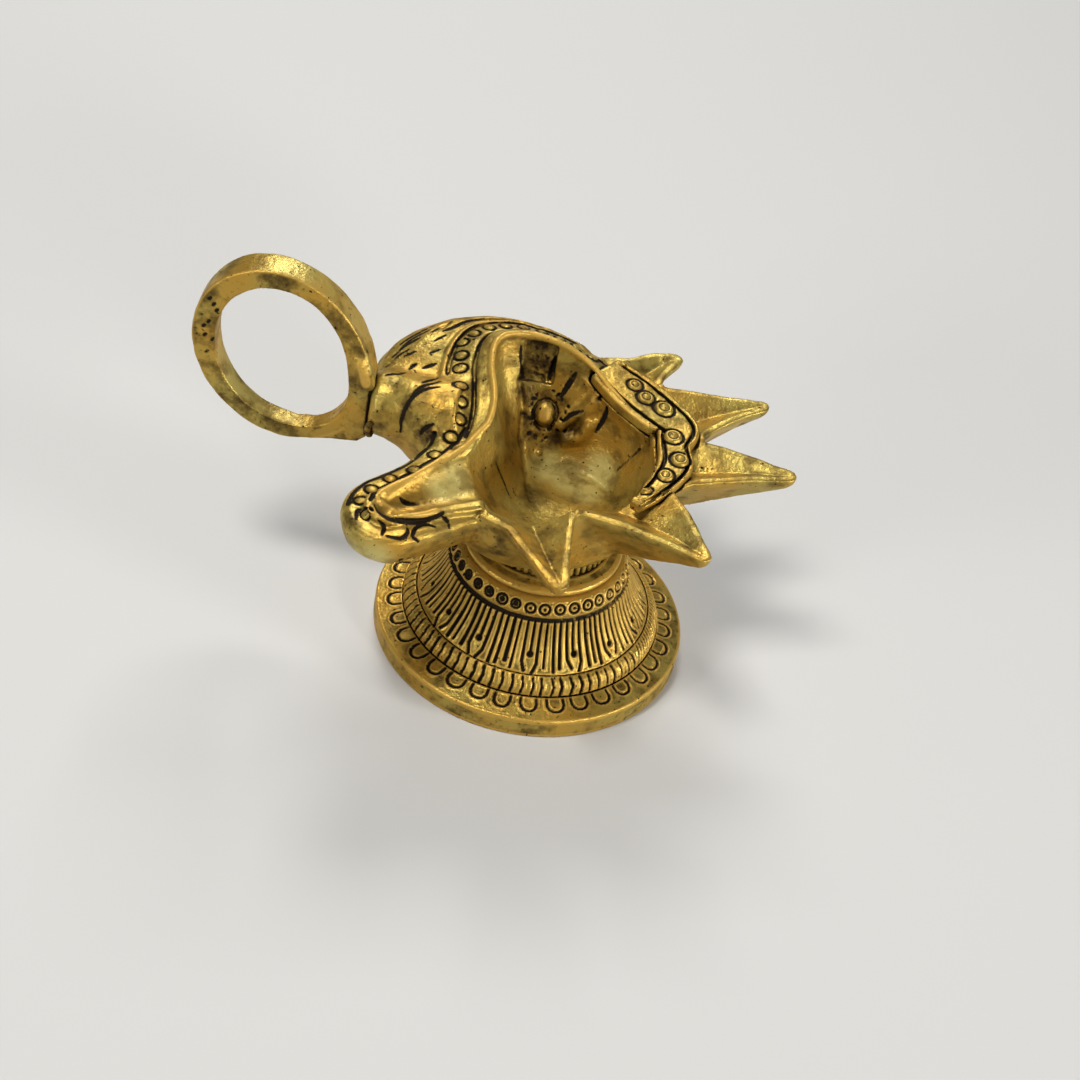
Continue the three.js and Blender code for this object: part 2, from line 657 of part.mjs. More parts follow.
// Short neck with a waist, whose flutes are fine work on its surface
function flutedNeck() {
  const z = CROWN_Z + COLLAR_HEIGHT + 2 * JOINT_GAP;
  const bore = SPIGOT_RADIUS + JOINT_GAP;
  return lathe([
    [bore, z], [NECK_RADIUS, z], [NECK_WAIST_RADIUS, z + 0.5 * NECK_HEIGHT],
    [NECK_RADIUS, z + NECK_HEIGHT], [bore, z + NECK_HEIGHT],
  ], 56);
}

function clampWasher() {
  const top = CROWN_Z - CROWN_THICKNESS - JOINT_GAP;
  const bore = SPIGOT_RADIUS + JOINT_GAP;
  return lathe([
    [bore, top - WASHER_THICKNESS], [WASHER_RADIUS, top - WASHER_THICKNESS],
    [WASHER_RADIUS, top], [bore, top],
  ], 40);
}

function clampNut() {
  const top = CROWN_Z - CROWN_THICKNESS - WASHER_THICKNESS - 2 * JOINT_GAP;
  const corner = NUT_ACROSS_FLATS / 2 / Math.cos(Math.PI / 6);
  const hexagon = new THREE.Shape(Array.from({ length: 6 }, (_, i) => polar(60 * i, corner)));
  const bore = new THREE.Path();
  bore.absarc(0, 0, SPIGOT_RADIUS + JOINT_GAP, 0, 2 * Math.PI, true);
  hexagon.holes.push(bore);
  const geometry = new THREE.ExtrudeGeometry(hexagon, {
    depth: NUT_HEIGHT, bevelEnabled: false, curveSegments: 28,
  });
  geometry.translate(0, 0, top - NUT_HEIGHT);
  return geometry;
}

function piece(name, geometry, material) {
  const mesh = new THREE.Mesh(geometry, material);
  mesh.name = name;
  return mesh;
}

const lamp = new THREE.Group();
lamp.add(
  piece('conch_bowl', toGeometry(conchBowl()), castBrass),
  piece('lip_strap', toGeometry(strapSolid(0)), castBrass),
  piece('handle_ring', toGeometry(handleRing()), castBrass),
  piece('braze_bead', brazeBead(), brazeMetal),
  piece('fluted_neck', flutedNeck(), turnedBrass),
  piece('seat_collar', seatCollar(), turnedBrass),
  piece('foot_bell', footBell(), turnedBrass),
  piece('clamp_washer', clampWasher(), turnedBrass),
  piece('clamp_nut', clampNut(), turnedBrass),
);

// The origin is the middle of the whole lamp's bottom
const box = new THREE.Box3().setFromObject(lamp, true);
lamp.position.set(-(box.min.x + box.max.x) / 2, -(box.min.y + box.max.y) / 2, -box.min.z);

const group = new THREE.Group();
group.add(lamp);

export default group;
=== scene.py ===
# %% [markdown]
# # A brass hand lamp in the shape of a conch
# The lamp is cast brass: a conch shell with five wick spouts and an open canal, a finger ring, and a
# turned and chased foot. The construction model gives every piece its place and its plain solid. Here
# each piece gets the surface that the founder, the chaser and years of polish gave the real one.
# Millimetres are the founder's unit, so shapes are written in millimetres from the foot's axis, and one
# helper brings them into the frame in metres.

# %% Load the construction model
import json
import math

import bpy
import numpy as np
from mathutils import Matrix, Vector


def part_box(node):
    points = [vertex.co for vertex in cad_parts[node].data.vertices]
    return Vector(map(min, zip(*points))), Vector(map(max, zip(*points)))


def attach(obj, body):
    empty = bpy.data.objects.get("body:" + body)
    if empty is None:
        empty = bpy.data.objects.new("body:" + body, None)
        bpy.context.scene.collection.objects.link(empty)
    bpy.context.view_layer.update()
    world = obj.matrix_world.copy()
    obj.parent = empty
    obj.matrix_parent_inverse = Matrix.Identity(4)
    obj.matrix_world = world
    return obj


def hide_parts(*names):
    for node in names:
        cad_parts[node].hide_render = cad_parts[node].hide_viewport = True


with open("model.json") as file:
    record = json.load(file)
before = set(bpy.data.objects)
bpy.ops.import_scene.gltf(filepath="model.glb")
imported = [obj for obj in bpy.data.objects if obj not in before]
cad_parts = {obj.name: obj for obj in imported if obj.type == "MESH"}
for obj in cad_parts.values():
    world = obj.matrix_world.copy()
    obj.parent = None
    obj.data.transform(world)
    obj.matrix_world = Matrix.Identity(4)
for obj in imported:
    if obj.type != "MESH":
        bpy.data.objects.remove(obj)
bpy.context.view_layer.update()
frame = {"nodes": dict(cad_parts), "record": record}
print("solids to dress:", sorted(frame["nodes"]))

# %% Where the foot's axis stands
MM = 0.001
foot_low, foot_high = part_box("foot_bell")
FOOT_AXIS = np.array([(foot_low.x + foot_high.x) / 2, (foot_low.y + foot_high.y) / 2, 0.0])
print("foot axis at", np.round(FOOT_AXIS / MM, 2), "mm")


def in_frame(points):
    """Points in millimetres from the foot's axis, brought into the frame in metres."""
    return np.asarray(points, float) * MM + FOOT_AXIS


# %% [markdown]
# ## The camera
# The photograph looks down on the lamp from the front at about 41 degrees, a little rolled. The view was
# worked out from the foot's two circles and the finger ring. The same numbers turn a spot of the
# photograph into a line of sight, which later places the chased marks on the metal.

# %% Camera
CAMERA_DISTANCE = 436.8
CAMERA_ELEVATION = math.radians(40.93)
CAMERA_ROLL = math.radians(11.52)
CAMERA_ANGLE = math.radians(28)
CAMERA_TARGET = np.array([-0.71, 0.0, 23.66])
PHOTO_SIZE = 1080
SENSOR = 36

view_back = np.array([0, -math.cos(CAMERA_ELEVATION), math.sin(CAMERA_ELEVATION)])
level_right = np.array([1.0, 0, 0])
level_up = np.cross(view_back, level_right)
view_right = math.cos(CAMERA_ROLL) * level_right + math.sin(CAMERA_ROLL) * level_up
view_up = math.cos(CAMERA_ROLL) * level_up - math.sin(CAMERA_ROLL) * level_right
camera_place = CAMERA_TARGET + view_back * CAMERA_DISTANCE

camera_data = bpy.data.cameras.new("camera")
camera_data.sensor_width = SENSOR
camera_data.lens = SENSOR / 2 / math.tan(CAMERA_ANGLE / 2)
camera = bpy.data.objects.new("camera", camera_data)
bpy.context.scene.collection.objects.link(camera)
turn = Matrix([view_right, view_up, view_back]).transposed().to_4x4()
camera.matrix_world = Matrix.Translation(in_frame(camera_place)) @ turn
bpy.context.scene.camera = camera
print("lens", round(camera_data.lens, 1), "mm")


def line_of_sight(across, down):
    """Direction in which the camera sees a spot of the photograph, given in its pixels."""
    reach = PHOTO_SIZE / 2 / math.tan(CAMERA_ANGLE / 2)
    toward = (across - PHOTO_SIZE / 2) / reach * view_right - (down - PHOTO_SIZE / 2) / reach * view_up
    toward = toward - view_back
    return toward / np.linalg.norm(toward)


# %% [markdown]
# ## Wax
# A lamp like this is modelled in wax and then cast. Its forms run into each other: the spouts into the
# bowl, the canal into the lip. Boxes and curves could be joined by booleans, but that leaves hard seams.
# A block of points that each hold their distance to the surface works as wax does: shapes are pressed
# together with a soft joint, or carved out, and at the end a skin is laid where the distance is zero.

# %% A block of wax
EMPTY = 9.0
SIGHT_REACH = 70
DOT = 0.01
LOWEST, HIGHEST = (-99, -99, -99), (99, 99, 99)


def softly_least(a, b, fillet):
    """The lesser of two distances, rounded over the width of a fillet."""
    if fillet <= 0:
        return np.minimum(a, b)
    near = np.maximum(fillet - np.abs(a - b), 0) / fillet
    return np.minimum(a, b) - near * near * (fillet / 4)


def softly_most(a, b, fillet):
    """The greater of two distances, rounded over the width of a fillet."""
    return -softly_least(-a, -b, fillet)


class Wax:
    """Distance to a surface at the points of a grid, below zero inside it, in millimetres."""

    def __init__(self, low, high, step):
        self.low = np.array(low, np.float32)
        self.step = step
        counts = [int(round((b - a) / step)) + 1 for a, b in zip(low, high)]
        self.lines = [self.low[k] + step * np.arange(n, dtype=np.float32) for k, n in enumerate(counts)]
        self.field = np.full(counts, EMPTY, np.float32)
        # Lines of soot, lines of painted highlight, grimy spots with painted shade, and patches of painted
        # sheen
        self.black = []
        self.bright = []
        self.grime = []
        self.pale = []

    def part(self, low, high):
        """The slices of a smaller box, and its coordinates, shaped so that they spread over it."""
        cut = []
        for line, a, b in zip(self.lines, low, high):
            cut.append(slice(int(np.searchsorted(line, a)), int(np.searchsorted(line, b)) + 1))
        x, y, z = (line[c] for line, c in zip(self.lines, cut))
        return tuple(cut), x[:, None, None], y[None, :, None], z[None, None, :]

    def work(self, shape, fillet=0.0, low=LOWEST, high=HIGHEST, carve=False):
        """Joins a shape to the wax, or carves it out, with a soft edge."""
        cut, x, y, z = self.part(low, high)
        other = shape(x, y, z)
        if carve:
            self.field[cut] = softly_most(self.field[cut], -other, fillet)
        else:
            self.field[cut] = softly_least(self.field[cut], other, fillet)

    def at(self, points):
        """The distance at any points inside the block."""
        q = (np.asarray(points, np.float32) - self.low) / self.step
        limit = np.array(self.field.shape) - 2
        cell = np.clip(np.floor(q).astype(int), 0, limit)
        f = np.clip(q - cell, 0, 1)
        total = np.zeros(len(q), np.float32)
        for dx in (0, 1):
            for dy in (0, 1):
                for dz in (0, 1):
                    share = (
                        (f[:, 0] if dx else 1 - f[:, 0])
                        * (f[:, 1] if dy else 1 - f[:, 1])
                        * (f[:, 2] if dz else 1 - f[:, 2])
                    )
                    total += share * self.field[cell[:, 0] + dx, cell[:, 1] + dy, cell[:, 2] + dz]
        return total

    def outward(self, points, reach=None):
        """Unit directions that leave the surface squarely."""
        reach = reach or self.step
        points = np.asarray(points, np.float32)
        slope = np.stack([
            self.at(points + reach * axis) - self.at(points - reach * axis)
            for axis in np.eye(3, dtype=np.float32)
        ], 1)
        return slope / np.maximum(np.linalg.norm(slope, axis=1, keepdims=True), 1e-6)

    def seen(self, across, down):
        """Where the line of sight through a spot of the photograph meets the wax."""
        toward = line_of_sight(across, down)
        travel = np.arange(CAMERA_DISTANCE - SIGHT_REACH, CAMERA_DISTANCE + SIGHT_REACH, self.step / 2)
        along = camera_place + travel[:, None] * toward
        in_box = np.all((along > self.low) & (along < [line[-1] for line in self.lines]), axis=1)
        gap = np.where(in_box, self.at(along), EMPTY)
        k = int(np.argmax(gap < 0))
        return mix(along[k - 1], along[k], gap[k - 1] / (gap[k - 1] - gap[k]))

    def dent(self, size, height, seed):
        """Gives the surface the low dents that hand work leaves, a size apart."""
        counts = [int(math.ceil((line[-1] - line[0]) / size)) + 2 for line in self.lines]
        dents = np.random.default_rng(seed).normal(0, height, counts).astype(np.float32)
        for axis, line in enumerate(self.lines):
            at = (line - line[0]) / size
            low = np.floor(at).astype(int)
            share = at - low
            share = (share * share * (3 - 2 * share)).reshape([-1 if k == axis else 1 for k in range(3)])
            dents = np.take(dents, low, axis) * (1 - share) + np.take(dents, low + 1, axis) * share
        self.field += dents

    def skin(self):
        """A closed skin of four-sided faces: one point in each cell that the surface passes through."""
        f = self.field
        inside = f < 0
        low = tuple(slice(0, n - 1) for n in f.shape)
        corners = np.array([[i, j, k] for i in (0, 1) for j in (0, 1) for k in (0, 1)])

        def shifted(array, corner):
            return array[tuple(slice(c, n - 1 + c) for c, n in zip(corner, f.shape))]

        count = sum(shifted(inside, c).astype(np.uint8) for c in corners)
        active = (count > 0) & (count < 8)
        cells = np.argwhere(active)
        number = np.full(active.shape, -1, np.int32)
        number[active] = np.arange(len(cells))
        values = np.stack([shifted(f, c)[active] for c in corners], 1)
        total = np.zeros((len(cells), 3), np.float32)
        crossings = np.zeros(len(cells), np.float32)
        for a in range(8):
            for b in range(a + 1, 8):
                if np.abs(corners[a] - corners[b]).sum() != 1:
                    continue
                fa, fb = values[:, a], values[:, b]
                crossed = (fa < 0) != (fb < 0)
                t = np.where(crossed, fa / np.where(crossed, fa - fb, 1), 0)[:, None]
                total += np.where(crossed[:, None], corners[a] + t * (corners[b] - corners[a]), 0)
                crossings += crossed
        points = self.low + self.step * (cells + total / crossings[:, None])
        faces = []
        for axis in range(3):
            others = [k for k in range(3) if k != axis]
            start = [slice(1, -1)] * 3
            start[axis] = slice(0, -1)
            end = list(start)
            end[axis] = slice(1, None)
            here, there = inside[tuple(start)], inside[tuple(end)]
            at = np.argwhere(here != there)
            at[:, others] += 1
            back_u, back_v = np.zeros(3, int), np.zeros(3, int)
            back_u[others[0]], back_v[others[1]] = 1, 1
            ring = [number[tuple((at - shift).T)] for shift in (back_u * 0, back_u, back_u + back_v, back_v)]
            quad = np.stack(ring, 1)
            here_inside = here[here != there]
            if axis == 1:
                here_inside = ~here_inside
            quad[~here_inside] = quad[~here_inside][:, ::-1]
            faces.append(quad)
        return points, np.concatenate(faces)


# %% Outlines
# A radius on the far side of the axis, where the outline of a turned shape closes inside the metal
PAST_AXIS = -9.0


def outline_distance(u, v, corners):
    """Distance from (u, v) to a closed outline, below zero inside. Corners may vary over the plan."""
    least, inside = None, False
    pairs = list(zip(corners, corners[1:] + corners[:1]))
    for (u0, v0), (u1, v1) in pairs:
        du, dv = u1 - u0, v1 - v0
        length = np.maximum(du * du + dv * dv, 1e-9)
        pu, pv = u - u0, v - v0
        t = np.clip((pu * du + pv * dv) / length, 0, 1)
        gap = (pu - t * du) ** 2 + (pv - t * dv) ** 2
        least = gap if least is None else np.minimum(least, gap)
        crosses = ((v0 > v) != (v1 > v)) & (pu * dv * np.sign(dv) < pv * du * np.sign(dv))
        inside = inside ^ crosses
    return np.where(inside, -1, 1) * np.sqrt(least)


def smooth_round(degrees, values, count=720):
    """Values for every half degree, on a smooth closed curve through the given ones."""
    a = np.array([*[d - 360 for d in degrees[-2:]], *degrees, *[d + 360 for d in degrees[:2]]], float)
    v = np.array([*values[-2:], *values, *values[:2]], float)
    slope = np.gradient(v, a)
    at = np.arange(count) * 360 / count
    k = np.searchsorted(a, at, side="right") - 1
    h = a[k + 1] - a[k]
    s = (at - a[k]) / h
    rise = (2 * s**3 - 3 * s**2 + 1) * v[k] + (3 * s**2 - 2 * s**3) * v[k + 1]
    return rise + (s**3 - 2 * s**2 + s) * h * slope[k] + (s**3 - s**2) * h * slope[k + 1]


def spread_round(x, y, centre, column):
    """A column of values round a centre, spread over the plan by the direction of each place."""
    turn_share = np.degrees(np.arctan2(y - centre[1], x - centre[0])) % 360 / 360 * len(column)
    low = np.floor(turn_share).astype(int)
    share = (turn_share - low).astype(np.float32)
    column = np.asarray(column, np.float32)
    return column[low % len(column)] * (1 - share) + column[(low + 1) % len(column)] * share


def mix(a, b, share):
    """The value a share of the way from a to b."""
    return a + (b - a) * share


print("wax tools ready")

# %% [markdown]
# ## The conch bowl
# The bowl is the main casting. Its wall is described by rows, one for each direction from the bowl's own
# axis: the crest of the lip, the outer edge of the bead band, and the widest place of the belly. Between
# rows the wall runs smoothly. The spouts, the canal and the spire are pressed on, and the hollow, the
# troughs and the canal's tongue are carved out, in the order in which a wax would be worked.

# %% Sizes of the bowl
WAX_STEP = 0.3
SEAT_Z = 28.4
SEAT_RADIUS = 13.6
BOWL_CENTRE = (0.0, 3.0)
FLOOR_CENTRE = (3.5, 4.5)
FLOOR_RADIUS = 8.0
FLOOR_Z = 32.6
BELLY_TAPER = 1.35
RIM_FRONT_Z = 46.0
RIM_BACK_Z = 48.8
RIM_FRONT_Y = -38
RIM_SPAN_Y = 76

# Direction in degrees, crest radius and height, band edge radius and height, widest radius and height
WHORL = np.array([
    [0, 18.8, 48.0, 19.8, 46.6, 20.5, 43],
    [22, 17.6, 48.5, 18.8, 47.2, 20.0, 44],
    [45, 15.9, 49.8, 18.4, 48.4, 20.6, 45],
    [65, 15.9, 51.7, 21.0, 49.0, 23.2, 46],
    [85, 17.6, 54.5, 26.0, 50.8, 27.8, 47],
    [105, 19.8, 56.5, 29.0, 52.4, 31.8, 47.5],
    [120, 22.2, 57.0, 31.6, 53.2, 35.6, 47.5],
    [135, 22.9, 57.0, 32.3, 53.7, 39.0, 48],
    [150, 19.2, 55.6, 30.0, 53.1, 41.4, 48],
    [165, 15.4, 53.2, 27.0, 51.0, 41.0, 47.5],
    [177, 14.4, 51.0, 25.0, 48.8, 37.0, 45.5],
    [188, 15.0, 49.4, 24.4, 46.6, 28.0, 43],
    [200, 17.2, 47.8, 24.6, 45.4, 25.4, 42.5],
    [213, 20.6, 46.7, 25.2, 45.0, 26.0, 42],
    [225, 22.5, 46.0, 26.5, 45.0, 27.8, 41],
    [240, 25.0, 45.8, 27.0, 44.8, 27.8, 41.5],
    [255, 24.6, 45.8, 26.0, 44.8, 26.8, 42],
    [270, 21.3, 45.4, 22.4, 44.6, 23.2, 42],
    [290, 19.0, 46.0, 20.0, 45.2, 20.8, 42.5],
    [310, 18.6, 46.4, 19.6, 45.6, 20.4, 43],
    [335, 18.9, 47.1, 19.9, 46.0, 20.6, 43],
])
columns = [smooth_round(WHORL[:, 0], WHORL[:, k]) for k in range(1, 7)]
crest_r, crest_z, band_r, band_z = columns[:4]
directions = np.radians(np.arange(720) / 2)
crest_points = np.stack([
    BOWL_CENTRE[0] + crest_r * np.cos(directions),
    BOWL_CENTRE[1] + crest_r * np.sin(directions),
    crest_z,
], 1)
print("crest from", round(float(crest_z.min()), 1), "to", round(float(crest_z.max()), 1), "mm high")

# %% The whorl's wall
# Across the band from the crest outwards: share of the band's width, and height above its chord
BAND_SECTION = [
    (0.05, 0.16), (0.18, 0.30), (0.30, 0.28), (0.345, 0.05), (0.375, -0.95), (0.425, -0.95), (0.45, -0.30),
    (0.52, -0.12), (0.72, -0.05), (0.86, -0.12), (0.88, -0.8), (0.925, -0.8), (0.945, 0.2), (0.995, 0.26),
    (1.03, 0.0), (1.10, -0.10),
]
# Where the lip is narrower than this there is no band, and so much wider it has its full height
NO_BAND_WIDTH = 3.2
BAND_FADE = 5.0
BELLY_DEGREES = (76, 62, 48, 34, 20, 8)
# From the widest place up to the band's edge: share of the way, and share of the climb
SHOULDER = ((0.9, 0.5), (0.72, 0.22), (0.52, 0.07), (0.3, 0.0))
CREST_STEP = (3.0, 0.5)


def whorl(x, y, z):
    """Outer wall of the shell, from its seat over the belly and the bead band to the crest."""
    def spread(column):
        return spread_round(x, y, BOWL_CENTRE, column)

    cr, cz, br, bz, wr, wz = (spread(c) for c in columns)
    seat_r = spread(SEAT_RADIUS + 0 * directions - BOWL_CENTRE[1] * np.sin(directions))
    r = np.hypot(x - BOWL_CENTRE[0], y - BOWL_CENTRE[1])
    width = np.hypot(br - cr, bz - cz)
    out_r, out_z = (br - cr) / width, (bz - cz) / width
    strength = np.clip((width - NO_BAND_WIDTH) / BAND_FADE, 0, 1)
    corners = [(PAST_AXIS, SEAT_Z), (seat_r, SEAT_Z)]
    for degrees in BELLY_DEGREES:
        a = math.radians(degrees)
        corners.append((mix(seat_r, wr, math.cos(a) ** BELLY_TAPER), mix(wz, SEAT_Z, math.sin(a))))
    corners.append((wr, wz))
    for share, rise in SHOULDER:
        corners.append((mix(br, wr, share), mix(bz, wz, rise)))
    for share, rise in reversed(BAND_SECTION):
        reach = share * width
        height = rise * strength
        corners.append((cr + reach * out_r - height * out_z, cz + reach * out_z + height * out_r))
    step_in, step_down = CREST_STEP
    corners += [(cr, cz), (cr - step_in, cz - step_down), (PAST_AXIS, cz - step_down)]
    return outline_distance(r, z, corners)


# %% The hollow
HOLLOW_RINGS = [
    (0, 0), (0.03, 0.12), (0.09, 0.27), (0.18, 0.42), (0.27, 0.53), (0.36, 0.62), (0.48, 0.715),
    (0.6, 0.8), (0.72, 0.875), (0.84, 0.935), (0.93, 0.972), (1, 1), (1.6, 1.1),
]
from_floor = crest_points[:, :2] - FLOOR_CENTRE
order = np.argsort(np.degrees(np.arctan2(from_floor[:, 1], from_floor[:, 0])) % 360)
floor_turn = (np.degrees(np.arctan2(from_floor[:, 1], from_floor[:, 0])) % 360)[order]
half_degrees = np.arange(720) / 2
reach_round = np.interp(half_degrees, floor_turn, np.hypot(*from_floor.T)[order], period=360)
height_round = np.interp(half_degrees, floor_turn, crest_z[order], period=360)


def hollow(x, y, z):
    """The bowl's open inside, from its floor to above its crest."""
    reach = spread_round(x, y, FLOOR_CENTRE, reach_round)
    height = spread_round(x, y, FLOOR_CENTRE, height_round)
    r = np.hypot(x - FLOOR_CENTRE[0], y - FLOOR_CENTRE[1])
    corners = [(PAST_AXIS, FLOOR_Z)]
    for rise, out in HOLLOW_RINGS:
        corners.append((mix(FLOOR_RADIUS, reach, out), mix(FLOOR_Z, height, rise)))
    corners.append((PAST_AXIS, corners[-1][1]))
    return outline_distance(r, z, corners)


# %% Wick spouts
RIM_EDGE = 1.1
SPOUT_TIP_DEPTH = 3.4
HULL_SLOPE = 1.62
TROUGH_SLOPE = 0.62
SPOUT_LAND = 1.3
TIP_RADIUS = 1.7
TIP_DEGREES = (75, 38, 0, -38, -75)
SPOUT_HUB = (1.0, 4.0)
KEEL_START = 0.3
KEEL_SAG = 1.2
KEEL_SQUARE = 1.15
# Plan of each spout: its root on the bowl, its tip, the corners of both sides between them, and how far
# its trough runs on into the bowl
SPOUTS = [
    {
        "root": [(-12.7, -22.5), (5.2, -17)],
        "tip": (4.9, -38),
        "inward": 12.0,
        "sides": [[(-7.3, -25.1), (-3.1, -30.2), (2.2, -36.6)], [(5.7, -33), (5.3, -26)]],
    },
    {
        "root": [(5.2, -17), (21.5, -4)],
        "tip": (31.2, -22.4),
        "inward": 13.0,
        "sides": [[(14.6, -18.2), (23.6, -20.7)], [(29.6, -16.8), (26.4, -10.2)]],
    },
    {
        "root": [(21.5, -4), (26.5, 11.6)],
        "tip": (46.4, 6.3),
        "inward": 8.0,
        "sides": [[(27.8, -1.5), (36.6, 2.2)], [(38.3, 9.6), (31.2, 11)]],
    },
    {
        "root": [(26.5, 11.6), (17.2, 25.8)],
        "tip": (39.7, 26.6),
        "inward": 4.0,
        "sides": [[(30.9, 17.5), (35.4, 22)], [(31.2, 27), (24.2, 26.6)]],
    },
    {
        "root": [(17.2, 25.8), (3.4, 31.1)],
        "tip": (20.5, 36.8),
        "inward": 1.0,
        "sides": [[(17.9, 29.6)], [(14.6, 36.4), (9, 32.8)]],
    },
]


def rim_height(y):
    """The spouts' rims lie in one plane that climbs to the back."""
    return mix(RIM_FRONT_Z, RIM_BACK_Z, (y - RIM_FRONT_Y) / RIM_SPAN_Y)


def blunt_tip(spout):
    """Corners of a spout's rounded tip."""
    tip = np.array(spout["tip"], float)
    before, after = (np.array(side, float) for side in (spout["sides"][0][-1], spout["sides"][1][0]))
    out = tip - (before + after) / 2
    out /= np.hypot(*out)
    beside = np.array([-out[1], out[0]])
    if (before - after) @ beside < 0:
        beside = -beside
    middle = tip - out * TIP_RADIUS
    return [tuple(middle + TIP_RADIUS * (math.cos(a) * out + math.sin(a) * beside))
            for a in np.radians(TIP_DEGREES)]


def spout_plan(x, y, spout):
    """Distance to a spout's outline from above, and how far along it a place is."""
    corners = [
        spout["root"][0], *spout["sides"][0], *blunt_tip(spout),
        *spout["sides"][1], spout["root"][1], SPOUT_HUB,
    ]
    plan = outline_distance(x, y, [tuple(c) for c in corners])
    along = np.array(spout["tip"]) - SPOUT_HUB
    length = np.hypot(*along)
    run = ((x - SPOUT_HUB[0]) * along[0] + (y - SPOUT_HUB[1]) * along[1]) / length
    return plan, run / length


def spout_hull(spout):
    """Hull of one spout: a level rim, sides that slope in, and a straight keel down to the seat."""
    def shape(x, y, z):
        plan, run = spout_plan(x, y, spout)
        rim = rim_height(y)
        tip_z = rim_height(spout["tip"][1]) - SPOUT_TIP_DEPTH
        keel_run = (run - KEEL_START) / (1 - KEEL_START)
        keel = mix(SEAT_Z, tip_z, np.clip(keel_run, -1, 1.3))
        keel = keel - KEEL_SAG * np.sin(np.pi * np.clip(keel_run, 0, 1))
        side = rim - RIM_EDGE + HULL_SLOPE * np.minimum(plan, 0)
        under_side = (side - z) / math.hypot(1, HULL_SLOPE)
        under_keel = (keel - z) / KEEL_SQUARE
        bottom = softly_most(under_side, under_keel, 2.0)
        return softly_most(softly_most(bottom, plan, 0.7), z - rim, 0.3)
    return shape


def spout_trough(spout):
    """The V of one spout that holds the wick: two flat faces that meet in a valley."""
    left, right = (np.array(corner) for corner in spout["root"])
    inward = (left + right) / 2 - np.array(spout["tip"])
    inward *= spout["inward"] / np.hypot(*inward)
    corners = [
        tuple(left + inward), tuple(left), *spout["sides"][0], *blunt_tip(spout), *spout["sides"][1],
        tuple(right), tuple(right + inward),
    ]

    def shape(x, y, z):
        plan = outline_distance(x, y, corners)
        valley = rim_height(y) - TROUGH_SLOPE * (-plan - SPOUT_LAND)
        return (valley - z) / math.hypot(1, TROUGH_SLOPE)
    return shape


# %% Canal, tongue and spire
CANAL_ROOT = (-12.4, -11.0)
CANAL_END = (-29.4, -25.2)
CANAL_SECTION = [
    (PAST_AXIS, 36.9), (4.4, 36.9), (6.4, 37.7), (7.8, 39.2), (8.5, 41.2), (8.7, 43.0), (8.5, 44.3),
    (7.9, 45.0), (7.2, 45.25), (PAST_AXIS, 45.3),
]
TONGUE_RADIUS = (6.4, 3.1)
TONGUE_RIM = 1.7
TONGUE_RIM_HALF_HEIGHT = 2.2
TONGUE_TOP_Z = 47.0
TONGUE_DEPTH = (4.2, 2.2)
SPIRE_AXIS = (4.6, 46.4)
SPIRE_FLATTEN = 0.86
SPIRE_SECTION = [
    (-22.0, PAST_AXIS), (-22.0, 6.4), (-29.0, 6.2), (-31.0, 6.0), (-32.4, 6.35), (-34.2, 6.8), (-35.8, 6.9),
    (-37.2, 6.65), (-38.1, 6.0), (-38.4, 5.0), (-38.4, PAST_AXIS),
]


def along_bar(x, y, start, end):
    """Share along a bar seen from above, and distance from its middle line."""
    dx, dy = end[0] - start[0], end[1] - start[1]
    share = np.clip(((x - start[0]) * dx + (y - start[1]) * dy) / (dx * dx + dy * dy), 0, 1)
    return share, np.hypot(x - start[0] - share * dx, y - start[1] - share * dy)


def canal(x, y, z):
    """Round-ended boss of the canal."""
    share, gap = along_bar(x, y, CANAL_ROOT, CANAL_END)
    return outline_distance(gap, z, CANAL_SECTION)


# The lip's crest and the band's outer edge where they leave the whorl and run on to the canal's end
SHELF_CREST = [
    (-15.4, 5.8, 47.6), (-16.7, 0.6, 47.2), (-18.8, -4.7, 47.0), (-21.4, -9.3, 47.0), (-24.8, -14.1, 46.9),
    (-27.9, -18.5, 46.6), (-30.4, -22.1, 46.2), (-31.0, -25.5, 45.6),
]
SHELF_EDGE = [
    (-24.9, 6.5, 46.0), (-25.3, 2.0, 45.7), (-26.1, -3.6, 45.4), (-28.0, -8.2, 45.3), (-30.3, -12.1, 45.2),
    (-33.0, -15.1, 45.1), (-35.8, -18.2, 45.0), (-37.6, -21.8, 44.9), (-38.0, -25.6, 44.7),
]
SHELF_UNDERSIDE = 39.0


def shelf(x, y, z):
    """The strip between the lip's crest and the band's outer edge, from the whorl to the canal."""
    crest, edge = smooth_line(SHELF_CREST, 4), smooth_line(SHELF_EDGE, 4)
    plan = outline_distance(x, y, [tuple(p[:2]) for p in crest] + [tuple(p[:2]) for p in edge[::-1]])
    best = [np.full(plan.shape, 1e9), np.full(plan.shape, 1e9)]
    height = [np.zeros(plan.shape), np.zeros(plan.shape)]
    for k, line in enumerate((crest, edge)):
        for a, b in zip(line[:-1], line[1:]):
            share, gap = along_bar(x, y, a, b)
            nearer = gap < best[k]
            best[k] = np.where(nearer, gap, best[k])
            height[k] = np.where(nearer, mix(a[2], b[2], share), height[k])
    top = mix(height[0], height[1], best[0] / np.maximum(best[0] + best[1], 1e-6))
    return softly_most(softly_most(plan, z - top, 0.9), SHELF_UNDERSIDE - z + 0.5 * plan, 3.0)


def tongue_rim(x, y, z):
    """Raised smooth lip round the canal's tongue."""
    root = mix(np.array(CANAL_ROOT), np.array(CANAL_END), 0.2)
    share, gap = along_bar(x, y, root, CANAL_END)
    side = gap - mix(*TONGUE_RADIUS, share) - TONGUE_RIM
    half = TONGUE_RIM_HALF_HEIGHT
    return softly_most(side, np.abs(z - TONGUE_TOP_Z + half) - half, 0.9)


